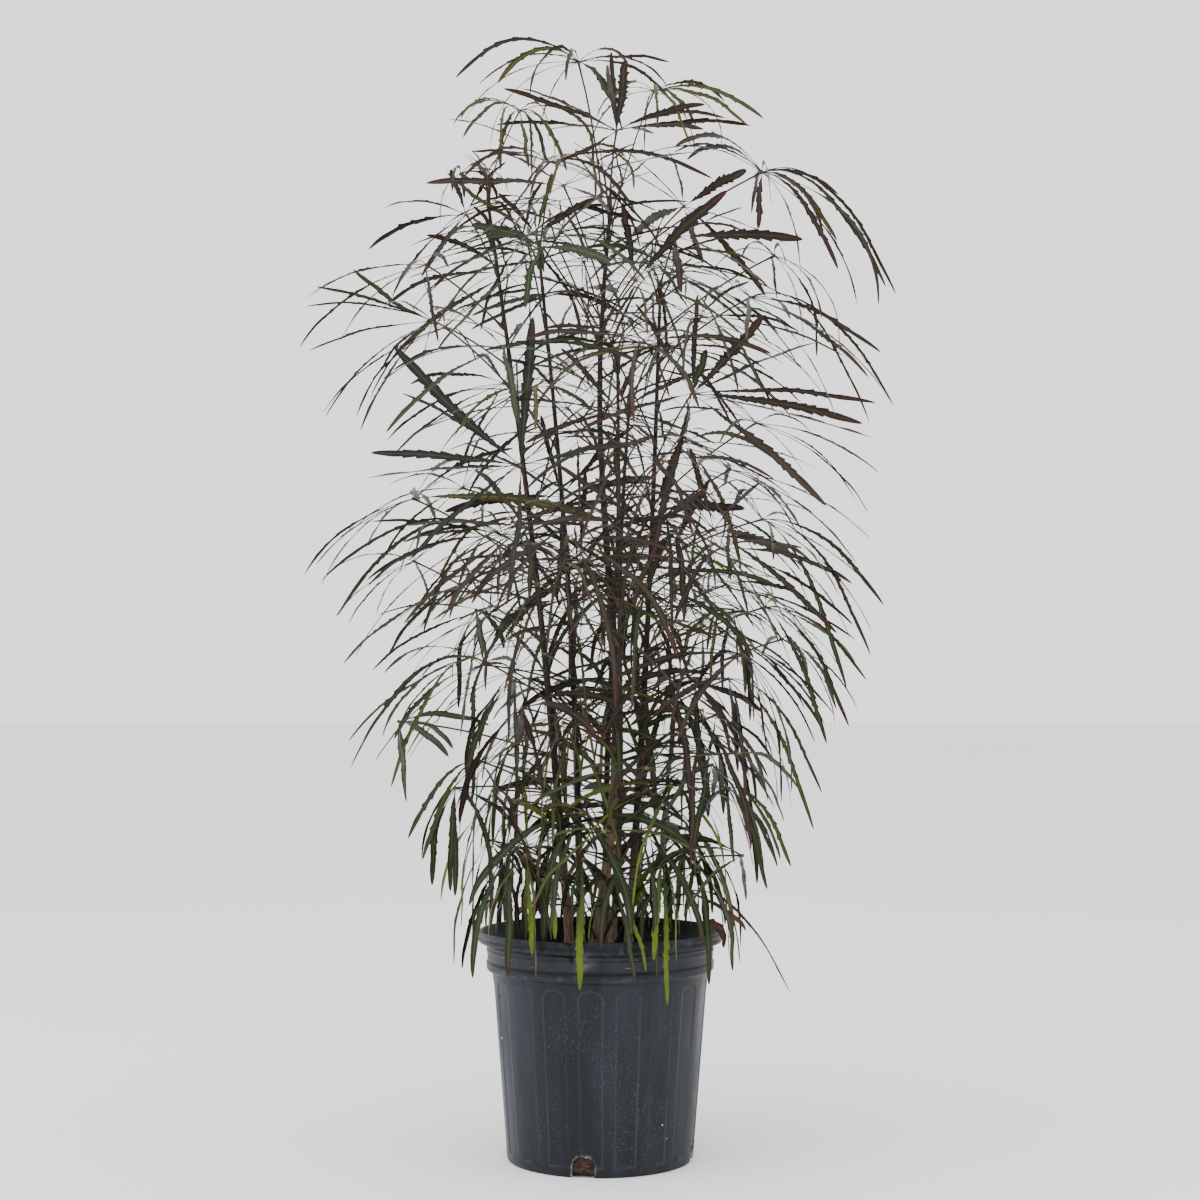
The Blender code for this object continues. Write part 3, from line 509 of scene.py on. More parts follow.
STEMS = (
    Stem(
        "trunk", (-0.006, 0.002), (0.011, 0.0, 1.030), (0.008, -0.004), 0.013, 0.0065, 0.0021,
        0.33, 250, 0.60,
        shoots(
            (990, -24, 20, 1200, FULL, 20, 0.8, 1.9), (1000, 60, 35, 1172, YOUNG),
            (960, 174, -40, 1065, FULL, 12, 1.05, 1.6), (925, 94, 60, 1050, BROAD, 20, 0.8),
            (890, -60, -85, 975, BROAD, 0, 0.9), (740, 20, -105, 800, BROAD, 10, 0.9),
            (560, 48, -115, 620, FULL, 0, 0.9),
        ),
        shoots((0, 18, -10, 1117, BROAD, 22, 0.95), (0, -26, -50, 1080, YOUNG, 0, 0.9)),
    ),
    Stem(
        "left_stem", (-0.032, -0.008), (-0.121, -0.020, 1.036), (0.008, 0.0), 0.0, 0.0052, 0.0018,
        0.36, 100, 0.44,
        shoots(
            (1000, -54, -60, 1071, FULL, 0, 0.8, 1.5), (960, -148, 35, 1035, FULL, 0, 0.75),
            (860, -184, 20, 915, FULL, 0, 1.0, 0.7), (835, -165, -60, 895, FULL, 10, 0.85, 1.2),
            (710, -83, -95, 745, BROAD, 25, 1.1, 0.8), (640, -204, 0, 718, FULL, 0, 0.9),
            (500, -135, -70, 545, FULL, 0, 0.95, 1.2), (440, -220, 0, 475, OLD, 0, 0.85),
        ),
        shoots((0, -87, -15, 1137, YOUNG, 0, 1.05, 1.1), (0, -150, -30, 1065, YOUNG, 0, 0.75)),
    ),
    Stem(
        "inner_stem", (-0.021, 0.021), (-0.067, 0.050, 0.985), (0.010, 0.010), 0.0, 0.0048, 0.0018,
        0.38, 30, 0.50,
        shoots((780, -110, 120, 860, FULL)),
        shoots((0, -59, 0, 1040, FULL, 0, 0.75, 1.3), (0, -90, 120, 1020, FULL, 0, 0.8, 1.3)),
    ),
    Stem(
        "right_stem", (0.030, -0.008), (0.066, 0.020, 0.940), (0.004, 0.0), 0.0, 0.0050, 0.0018,
        0.34, 200, 0.98,
        shoots(
            (905, 191, 10, 985, FULL, 10, 0.75, 2.2), (870, 161, -45, 930, FULL, 0, 1.0, 0.8),
            (760, 97, -75, 823, BROAD, 0, 1.25, 0.6), (690, 142, 0, 750, FULL), (610, 127, -70, 660, FULL),
            (500, 200, 10, 565, FULL, 0, 0.85, 1.2), (380, 120, -50, 430, OLD, 0, 0.9),
        ),
        shoots((0, 82, -20, 1000, BROAD, 0, 0.85), (0, 60, 90, 985, FULL, 0, 0.8)),
    ),
    Stem(
        "front_stem", (0.012, -0.030), (0.030, -0.120, 0.800), (0.0, -0.012), 0.004, 0.0042, 0.0017,
        0.32, 310, 0.68,
        shoots((620, -20, -215, 680, FULL)),
        shoots((0, 40, -185, 860, FULL, 0, 0.85), (0, 75, -85, 870, FULL, 10, 0.85)),
    ),
    Stem(
        "back_stem", (0.008, 0.032), (0.020, 0.135, 0.880), (0.0, 0.010), -0.004, 0.0044, 0.0017,
        0.33, 60, 0.72,
        shoots((730, 100, 185, 800, FULL)),
        shoots((0, 30, 195, 940, FULL, 0, 0.85), (0, -20, 100, 965, BROAD, 10, 0.85)),
    ),
)

# leaves that only the dressed plant has: over the rim, near the foot, and a few higher up
LOW_SHOOTS = tuple((name, *shoots(row)) for name, *row in (
    ("left_stem", 300, -78, -98, 338, HANGING), ("front_stem", 275, -45, -100, 322, DRAPED, 12, 0.9),
    ("front_stem", 300, -10, -108, 334, DRAPED, 30, 0.95), ("front_stem", 286, 28, -108, 318, DRAPED, 0, 0.9),
    ("front_stem", 315, 56, -98, 340, DRAPED, 18), ("right_stem", 292, 92, -92, 325, HANGING, 20, 0.95),
    ("right_stem", 310, 118, -22, 342, HANGING), ("left_stem", 320, -125, -20, 345, HANGING, 10),
    ("back_stem", 290, 40, 118, 325, HANGING), ("back_stem", 305, -50, 112, 335, HANGING, 15),
    ("inner_stem", 300, -98, 78, 340, HANGING, 5), ("right_stem", 325, 110, 60, 350, HANGING, 25),
    ("front_stem", 236, 26, -58, 262, SPROUT, 0, 0.9), ("trunk", 240, -16, -36, 270, SPROUT, 30),
    ("right_stem", 244, 58, -12, 272, SPROUT, 10), ("back_stem", 238, -12, 52, 265, SPROUT, 10),
    ("right_stem", 405, 160, 0, 452, OLD, 10, 1.05, 0.7),
    ("right_stem", 350, 138, -50, 405, OLD, 0, 1.0, 0.8),
    ("trunk", 902, 38, -60, 945, FULL, 0, 0.75, 0.9), ("trunk", 1006, 52, -22, 1168, FULL, 0, 0.62, 0.7),
    ("inner_stem", 955, -58, -30, 1000, FULL, 0, 0.55, 0.6), ("left_stem", 655, -108, 30, 680, FULL, 0, 0.9),
))


# ---------------------- finishes
class Recipe:
    """A node material as it is mixed, with the colour laid on so far."""

    def __init__(self, name: str, roughness: float, specular: float, colour: Colour) -> None:
        """Starts from a plain shader with these constant values and this colour."""
        self.material = bpy.data.materials.new(name)
        self.material.use_nodes = True
        self.nodes, self.links = self.material.node_tree.nodes, self.material.node_tree.links
        self.shader = self.nodes["Principled BSDF"]
        self.shader.inputs["Roughness"].default_value = roughness
        self.shader.inputs["Specular IOR Level"].default_value = specular
        self.place = self.node("TexCoord", "Object")
        self.colour: Socket | Colour = colour

    def node(
        self, kind: str, output: str | int, inputs: dict | None = None, **settings: str | bool,
    ) -> Socket:
        """A new node by its output, with these settings and with its inputs linked or set."""
        node = self.nodes.new("ShaderNode" + kind)
        for name, setting in settings.items():
            setattr(node, name, setting)
        for name, source in (inputs or {}).items():
            socket = node.inputs[name]
            if isinstance(source, Socket):
                self.links.new(source, socket)
            elif socket.type == "RGBA":
                socket.default_value = (*source, 1.0)
            else:
                socket.default_value = source
        return node.outputs[output]

    def stretched(self, *scale: float) -> Socket:
        """The place on the piece with each axis scaled."""
        return self.node("Mapping", "Vector", {"Vector": self.place, "Scale": scale})

    def noise(
        self, scale: float, detail: float = 3.0, roughness: float = 0.5, vector: Socket | None = None,
    ) -> Socket:
        """Cloudy noise from 0 to 1."""
        inputs = {"Scale": scale, "Detail": detail, "Roughness": roughness, "Vector": vector or self.place}
        return self.node("TexNoise", "Fac", inputs)

    def cells(self, scale: float, vector: Socket | None = None) -> Socket:
        """The distance to the nearest of many scattered spots."""
        return self.node("TexVoronoi", "Distance", {"Scale": scale, "Vector": vector or self.place})

    def band(self, value: Socket, low: float, high: float, floor: float = 0.0, top: float = 1.0) -> Socket:
        """The value taken smoothly from floor at low to top at high."""
        inputs = {"Value": value, "From Min": low, "From Max": high, "To Min": floor, "To Max": top}
        return self.node("MapRange", "Result", inputs, interpolation_type="SMOOTHSTEP")

    def reckon(
        self, operation: str, first: Socket | float, second: Socket | float, clamp: bool = True,
    ) -> Socket:
        """The result of that operation, clamped to 0 and 1 unless told otherwise."""
        return self.node("Math", "Value", {0: first, 1: second}, operation=operation, use_clamp=clamp)

    def times(self, first: Socket, second: Socket | float) -> Socket:
        """One times the other."""
        return self.reckon("MULTIPLY", first, second)

    def plus(self, first: Socket, second: Socket) -> Socket:
        """Both together."""
        return self.reckon("ADD", first, second)

    def from_middle(self, value: Socket) -> Socket:
        """How far the value is from one half, from 0 to 1."""
        away = self.reckon("SUBTRACT", value, 0.5, clamp=False)
        return self.times(self.reckon("ABSOLUTE", away, 0.0), 2.0)

    def blend(
        self, share: Socket | float, first: Socket | Colour, second: Socket | Colour, mode: str = "MIX",
    ) -> Socket:
        """The first colour with that share of the second."""
        return self.node("Mix", 2, {0: share, 6: first, 7: second}, data_type="RGBA", blend_type=mode)

    def lay(self, share: Socket | float, colour: Socket | Colour, mode: str = "MIX") -> None:
        """Lays that share of the colour over what is there."""
        self.colour = self.blend(share, self.colour, colour, mode)

    def grey(self, value: Socket) -> Socket:
        """The value as a grey."""
        return self.node("CombineColor", "Color", {"Red": value, "Green": value, "Blue": value})

    def axis(self, vector: Socket, letter: str) -> Socket:
        """One axis of a vector."""
        return self.node("SeparateXYZ", letter, {0: vector})

    def attribute(self, name: str) -> Socket:
        """A number kept on the piece's points."""
        return self.node("Attribute", "Fac", attribute_name=name)

    def relief(self, height: Socket, depth: float, strength: float) -> None:
        """Raises the surface by the height, in metres."""
        normal = self.shader.inputs["Normal"]
        inputs = {"Strength": strength, "Distance": depth, "Height": height}
        if normal.is_linked:
            inputs["Normal"] = normal.links[0].from_socket
        self.links.new(self.node("Bump", "Normal", inputs), normal)

    def finish(self, roughness: Socket | None = None) -> Material:
        """Puts the colour and the roughness on the shader."""
        self.links.new(self.colour, self.shader.inputs["Base Color"])
        if roughness is not None:
            self.links.new(roughness, self.shader.inputs["Roughness"])
        return self.material


@dataclass(frozen=True)
class PotPlastic:
    """Moulded black plastic, dusty and scuffed from the bench of a nursery, with painted shade in its grooves,
    inside it and over its lip, painted highlights on its panels' edges and a painted sheen of the sky on its
    left side.
    """

    base: Colour = (0.0100, 0.0118, 0.0142)
    bloom: Colour = (0.0185, 0.0225, 0.0300)
    # dust, and also the colour of the painted highlight along the panels' edges
    dust_and_edge_highlight: Colour = (0.066, 0.077, 0.092)
    # painted shadow of the leaves over the lip, darker than the pot's own black plastic
    painted_lip_shadow: Colour = (0.0035, 0.0040, 0.0048)
    # painted sheen of the sky, lighter and bluer on the pot's left side
    painted_sky_sheen: Colour = (0.034, 0.041, 0.060)
    worn: Colour = (0.15, 0.16, 0.17)
    # painted shade for the collar's grooves, the crease and the shaded side of the panels' edges
    groove: Colour = (0.0016, 0.0018, 0.0022)
    torn: Colour = (0.34, 0.35, 0.34)
    # painted shade inside the pot, near black, darker than the pot's own black plastic
    inside: Colour = (0.0006, 0.0006, 0.0007)
    speck: Colour = (0.62, 0.62, 0.58)

    def mix(self) -> Material:
        """The finished material."""
        mix = Recipe("pot_plastic", 0.46, 0.15, self.base)
        height = mix.axis(mix.place, "Z")
        flow = mix.noise(1.0, 5.0, 0.6, mix.stretched(22, 22, 4))
        clouds = mix.noise(9.0, 6.0, 0.62)
        mix.lay(mix.band(flow, 0.40, 0.72), self.bloom)
        on_lip = mix.times(mix.band(height, 0.200, 0.236), mix.band(clouds, 0.50, 0.74, 0.0, 0.38))
        mix.lay(mix.plus(on_lip, mix.band(clouds, 0.58, 0.85, 0.0, 0.16)), self.dust_and_edge_highlight)
        # painted shadow of the overhanging leaves, darkening the top of the lip
        mix.lay(mix.band(height, 0.230, 0.241, 0.0, 0.62), self.painted_lip_shadow)
        # painted sky sheen, laid over the pot's left side
        mix.lay(mix.band(mix.axis(mix.place, "X"), -0.055, -0.115, 0.0, 0.45), self.painted_sky_sheen)
        grit = mix.band(mix.noise(460.0, 4.0, 0.75), 0.55, 0.68)
        mix.lay(mix.times(grit, mix.band(mix.noise(13.0), 0.40, 0.65, 0.18, 0.66)), self.dust_and_edge_highlight)
        scratched = mix.band(mix.noise(1.0, 7.0, 0.75, mix.stretched(45, 45, 300)), 0.62, 0.70)
        mix.lay(mix.times(scratched, mix.band(height, 0.19, 0.22, 0.04, 0.75)), self.worn)
        # painted highlight along the panels' edges, in the dust colour, broken up by the clouds
        edges = mix.times(mix.attribute("edge"), mix.band(clouds, 0.30, 0.6, 0.25, 1.0))
        mix.lay(mix.times(edges, 0.42), self.dust_and_edge_highlight)
        # painted shade in the collar's grooves, along the crease and on the shaded side of the panels' edges
        mix.lay(mix.attribute("groove"), self.groove)
        rubbed = mix.band(mix.noise(1.0, 8.0, 0.8, mix.stretched(160, 160, 520)), 0.40, 0.58, 0.2, 1.0)
        mix.lay(mix.times(mix.attribute("scuff"), rubbed), self.worn)
        mix.lay(mix.attribute("torn"), self.torn)
        # painted shade laid over the pot's inside
        mix.lay(mix.attribute("within"), self.inside)
        spots = mix.band(mix.cells(62.0), 0.062, 0.040)
        mix.lay(mix.times(spots, mix.band(mix.noise(17.0, 0.0), 0.60, 0.66)), self.speck)
        mix.relief(mix.noise(420.0), 0.00012, 0.5)
        mix.relief(flow, 0.0006, 0.35)
        return mix.finish(mix.band(clouds, 0.3, 0.8, 0.36, 0.56))


@dataclass(frozen=True)
class Compost:
    """Damp brown potting mix."""

    dark: Colour = (0.0070, 0.0045, 0.0032)
    light: Colour = (0.075, 0.046, 0.028)
    crumb: Colour = (0.04, 0.022, 0.012)

    def mix(self) -> Material:
        """The finished material."""
        mix = Recipe("potting_mix", 0.95, 0.25, self.dark)
        coarse = mix.noise(150.0, 6.0, 0.7)
        mix.lay(mix.band(coarse, 0.44, 0.68), self.light)
        crumbs = mix.band(mix.cells(330.0), 0.05, 0.45)
        mix.lay(mix.times(crumbs, 0.5), self.crumb)
        mix.relief(coarse, 0.0020, 0.9)
        mix.relief(crumbs, 0.0008, 0.6)
        return mix.finish(mix.band(coarse, 0.2, 0.8, 0.80, 0.98))


@dataclass(frozen=True)
class Crumb:
    """The finish of small things: chips, fibres, grains or stalks."""

    name: str
    dark: Colour
    light: Colour
    grain: float = 600.0

    def mix(self) -> Material:
        """The finished material."""
        mix = Recipe(self.name, 0.85, 0.15, self.dark)
        cloud = mix.noise(self.grain, 4.0, 0.6)
        toned = mix.times(mix.attribute("tone"), 0.5)
        mix.lay(mix.plus(mix.band(cloud, 0.3, 0.7, 0.0, 0.6), toned), self.light)
        mix.relief(cloud, 0.0006, 0.6)
        return mix.finish(mix.band(cloud, 0.3, 0.7, 0.7, 0.95))


@dataclass(frozen=True)
class Bark:
    """Thin bark: brown and ringed at the foot, dark and smooth higher up."""

    turning: tuple[float, float] = (0.36, 0.52)  # the heights between which it goes dark
    old: Colour = (0.105, 0.068, 0.046)
    pale: Colour = (0.24, 0.175, 0.125)
    ring: Colour = (0.035, 0.022, 0.016)
    young: Colour = (0.013, 0.009, 0.0095)
    streak: Colour = (0.040, 0.030, 0.024)
    spot: Colour = (0.16, 0.120, 0.090)

    def mix(self) -> Material:
        """The finished material."""
        mix = Recipe("bark", 0.7, 0.14, self.old)
        streaks = mix.noise(1.0, 6.0, 0.65, mix.stretched(420, 420, 60))
        rings = mix.noise(1.0, 3.0, 0.6, mix.stretched(60, 60, 900))
        mix.lay(mix.band(streaks, 0.35, 0.72), self.pale)
        mix.lay(mix.band(rings, 0.60, 0.72, 0.0, 0.5), self.ring)
        young = mix.blend(mix.band(streaks, 0.40, 0.75), self.young, self.streak)
        turned = mix.band(mix.axis(mix.place, "Z"), *self.turning)
        mix.lay(mix.plus(turned, mix.band(streaks, 0.2, 0.8, -0.12, 0.12)), young)
        spots = mix.band(mix.cells(260.0, mix.stretched(1, 1, 0.5)), 0.16, 0.10)
        mix.lay(mix.times(spots, 0.35), self.spot)
        mix.relief(streaks, 0.0006, 0.7)
        mix.relief(rings, 0.0004, 0.5)
        return mix.finish(mix.band(streaks, 0.3, 0.8, 0.55, 0.85))


@dataclass(frozen=True)
class LeafFinish:
    """A leaflet's skin: a dark toothed margin, a greener middle and a fine pale rib."""

    name: str
    middle: Colour
    margin: Colour
    rib: Colour
    tip: Colour
    roughness: float = 0.36
    turning: tuple[float, float] = (0.72, 1.0)  # shares of the length between which it takes its tip's colour
    turned: float = 0.75

    def mix(self) -> Material:
        """The finished material."""
        mix = Recipe(self.name, self.roughness, 0.15, self.middle)
        surface = mix.node("UVMap", "UV", uv_map="surface")
        along = mix.axis(surface, "Y")
        mottle = mix.noise(90.0, 5.0, 0.6)
        from_rib = mix.from_middle(mix.axis(surface, "X"))
        uneven = mix.plus(from_rib, mix.band(mottle, 0.2, 0.8, -0.22, 0.22))
        mix.lay(mix.band(uneven, 0.40, 0.95), self.margin)
        mix.lay(mix.band(mix.attribute("tone"), 0.0, 1.0, 0.0, 0.55), self.margin)
        mix.lay(mix.band(along, *self.turning, 0.0, self.turned), self.tip)
        mix.lay(mix.times(mix.band(from_rib, 0.16, 0.05), 0.55), self.rib)
        mix.lay(mix.band(along, 0.055, 0.0, 0.0, 0.7), self.rib)
        mix.lay(1.0, mix.grey(mix.band(mottle, 0.25, 0.8, 0.78, 1.22)), "MULTIPLY")
        mix.relief(mix.noise(700.0), 0.00008, 0.6)
        mix.relief(mix.band(from_rib, 0.0, 0.25), 0.0004, 0.7)
        return mix.finish(mix.band(mottle, 0.2, 0.8, self.roughness - 0.06, self.roughness + 0.12))


class Tint(Enum):
    """The colours that leaves come in, dealt out leaf by leaf, with a grey that paints the sheen of a lit broad
    leaf.
    """

    BRONZE = LeafFinish(
        "bronze_leaf", (0.0265, 0.0205, 0.0110), (0.0130, 0.0068, 0.0062), (0.075, 0.050, 0.024),
        (0.036, 0.0085, 0.008),
    )
    DEEP_GREEN = LeafFinish(
        "deep_green_leaf", (0.0195, 0.0345, 0.0108), (0.0118, 0.0145, 0.0066), (0.085, 0.100, 0.034),
        (0.028, 0.012, 0.008),
    )
    OLIVE = LeafFinish(
        "olive_leaf", (0.052, 0.058, 0.0125), (0.025, 0.023, 0.0075), (0.15, 0.14, 0.042),
        (0.058, 0.036, 0.010),
    )
    GOLDEN = LeafFinish(
        "golden_leaf", (0.028, 0.058, 0.0110), (0.020, 0.036, 0.0075), (0.10, 0.14, 0.025),
        (0.078, 0.112, 0.0045), 0.42, (0.25, 0.72), 0.92,
    )
    # the leaf's own dull green, greyed to paint the sheen of the sky on a lit broad leaf
    SLATE = LeafFinish(
        "slate_leaf", (0.0200, 0.0225, 0.0160), (0.0105, 0.0100, 0.0092), (0.062, 0.066, 0.046),
        (0.018, 0.010, 0.009),
    )
    DRY = LeafFinish(
        "dry_leaf", (0.075, 0.046, 0.024), (0.048, 0.024, 0.014), (0.15, 0.10, 0.055),
        (0.050, 0.020, 0.012), 0.70,
    )


BR, GR, OL, GO, GS = Tint.BRONZE, Tint.DEEP_GREEN, Tint.OLIVE, Tint.GOLDEN, Tint.SLATE
# Leaflets placed one by one. Each group starts with the hub of a leaf, in millimetres. Then come its leaflets:
# the tip in millimetres, the width in tenths of one, how many millimetres the middle bows up, and the colour.
FANS = (
    ((-24, 20, 1200), (-158, 5, 1178, 62, 34, BR), (-135, 45, 1182, 36, 20, BR), (-112, 10, 1174, 78, 26, OL),
     (-66, -20, 1186, 62, 18, BR), (76, 10, 1197, 48, 7, BR), (12, -10, 1150, 78, 10, GR)),
    ((18, -10, 1117), (28, -22, 1191, 150, 0, BR), (12, -12, 1202, 75, 0, BR), (-104, -30, 1157, 80, 4, BR),
     (135, -20, 1128, 58, 12, BR), (-50, -40, 1075, 62, -4, BR)),
    ((52, -22, 1168), (176, -30, 1125, 66, 18, OL), (158, -40, 1115, 58, 16, OL), (96, -50, 1092, 58, 18, OL),
     (104, -20, 1120, 62, 14, OL)),
    ((174, -40, 1065), (316, -50, 932, 50, 48, BR), (304, -60, 938, 64, 40, GR), (253, -60, 957, 78, 24, BR),
     (255, -30, 993, 70, 20, OL), (258, -20, 1045, 55, 12, BR), (168, -60, 1000, 85, 10, BR),
     (79, -30, 1088, 34, 18, BR)),
    ((-87, -15, 1137), (-148, -20, 1107, 52, 20, OL), (-77, -30, 1072, 64, 6, OL), (-56, -20, 1077, 58, 16, BR),
     (-36, -10, 1073, 62, 22, OL)),
    ((-54, -60, 1071), (119, -70, 1051, 62, 20, BR), (36, -80, 1017, 62, 22, BR), (-136, -70, 1080, 42, 4, BR)),
    ((-58, -30, 1000), (-5, -50, 1035, 95, 2, BR), (-51, -50, 1062, 70, 0, OL), (-164, -40, 1064, 62, -4, OL),
     (-109, -45, 1041, 78, 3, BR)),
    ((38, -60, 945), (134, -80, 1036, 138, 6, BR), (24, -68, 1026, 98, 0, BR)),
    ((-184, 20, 915), (-311, 10, 951, 50, 4, BR), (-324, 20, 931, 34, 10, BR), (-269, 0, 968, 72, -6, GR)),
    ((161, -45, 930), (300, -50, 870, 62, 14, BR), (314, -45, 814, 44, 42, BR), (286, -60, 795, 36, 50, BR)),
    # this broad leaf takes the painted grey sheen
    ((-83, -95, 745), (-212, -130, 864, 145, -6, GS), (-237, -120, 756, 105, 3, GS),
     (-70, -105, 899, 144, 0, GS)),
    ((-204, 0, 718), (-4, -60, 693, 125, 11, OL)),
    ((97, -75, 823), (171, -100, 902, 148, -3, BR), (112, -85, 868, 110, 0, GR), (293, -60, 815, 75, 8, BR),
     (276, -85, 790, 110, 6, BR)),
    ((-108, 30, 680), (-306, 20, 630, 48, 38, GR), (-286, -10, 589, 58, 52, GR), (-250, 10, 694, 44, 6, BR),
     (-176, -10, 628, 60, 30, OL)),
    ((174, -40, 693), (303, -50, 600, 60, 26, BR), (290, -40, 547, 52, 40, BR), (262, -60, 512, 70, 36, GR)),
    ((179, -17, 599), (268, -30, 470, 62, 30, BR), (243, -40, 452, 75, 24, GR), (288, -20, 520, 48, 22, BR)),
    ((139, -14, 521), (240, -20, 398, 50, 34, GR), (229, -40, 360, 66, 38, OL)),
    ((138, -50, 405), (203, -60, 322, 66, 26, OL), (176, -80, 300, 72, 20, GR)),
    ((-151, -17, 561), (-272, 0, 425, 40, 36, GR), (-258, -10, 452, 52, 30, BR), (-225, -30, 405, 68, 34, OL)),
    ((-129, -57, 434), (-204, -60, 352, 70, 22, GR), (-188, -70, 330, 75, 26, OL)),
    ((-78, -98, 338), (-70, -124, 236, 78, 16, GO)), ((-45, -100, 322), (-46, -134, 254, 80, 14, GO)),
    ((-10, -108, 334), (-21, -146, 203, 92, 20, GO)), ((28, -108, 318), (36, -145, 212, 76, 18, GR)),
    ((56, -98, 340), (55, -140, 233, 88, 18, GO), (69, -138, 187, 72, 20, GO)),
)
# leaves whose colour is chosen, by the place of their hub in millimetres
HUB_TINTS = (
    (174, -40, 1065, BR), (-87, -15, 1137, OL), (60, 35, 1172, OL), (-24, 20, 1200, BR), (18, -10, 1117, BR),
    (-83, -95, 745, GS), (97, -75, 823, BR), (191, 10, 985, BR), (94, 60, 1050, BR),
)


# ---------------------- growth
@dataclass(eq=False)
class Leaflet:
    """One finger of a leaf, as its middle line."""

    line: Array
    width: float
    across: Array
    tint: Tint | None = None  # its own colour, where that isn't its leaf's
    placed: bool = False  # listed, at its full width and with hardly a twist


@dataclass(eq=False)
class Leaf:
    """A stalk with the whorl of leaflets at its end."""

    node: str  # the solid that it belongs to
    stem: Stem
    stalk: Array
    thickness: float
    kind: LeafKind
    leaflets: dict[int, Leaflet] = field(default_factory=dict)


@dataclass(frozen=True)
class Start:
    """How one leaflet sets out from its hub."""

    heading: float
    rise: float
    length: float
    droop: float
    curl: float
    roll: float

    def line(self, hub: Array, turn: float, lift: float, shorter: float = 1.0) -> Array:
        """The leaflet's middle line, turned and lifted by those degrees."""
        return bending_line(
            hub, self.heading + turn, self.rise + lift, self.length * shorter, self.droop, self.curl,
        )


class Room:
    """The space that limbs and leaflets already fill, as points with a radius and an owner, kept by cell."""

    CELL = 0.03
    WIDEST = 0.012  # no point stands for more than this

    def __init__(self) -> None:
        """Starts empty."""
        self.cells: defaultdict[tuple[int, ...], list[Array]] = defaultdict(list)

    def fill(self, points: Array, radius: float | Array, owner: int) -> None:
        """Takes the points for that owner; radius is one number or one for each point."""
        rows = np.empty((len(points), 5))
        rows[:, :3], rows[:, 3], rows[:, 4] = points, radius, owner
        keys = np.floor(rows[:, :3] / self.CELL).astype(int)
        for key in {tuple(row) for row in keys.tolist()}:
            self.cells[key].append(rows[(keys == key).all(axis=1)])

    def is_free(self, points: Array, radius: float, owner: int, air: float = CLEARANCE) -> bool:
        """Whether a new line keeps that much air to every piece of another owner."""
        reach = self.WIDEST + radius + air
        keys: set[tuple[int, ...]] = set()
        for shift in np.array(np.meshgrid(*[(-reach, 0.0, reach)] * 3)).reshape(3, -1).T:
            keys |= {tuple(row) for row in np.floor((points + shift) / self.CELL).astype(int).tolist()}
        found = [rows for key in keys if key in self.cells for rows in self.cells[key]]
        near = np.concatenate([np.empty((0, 5)), *found])
        near = near[near[:, 4] != owner]
        apart = np.linalg.norm(points[:, None] - near[None, :, :3], axis=2)
        return bool((apart > near[:, 3] + (radius + air)).all())


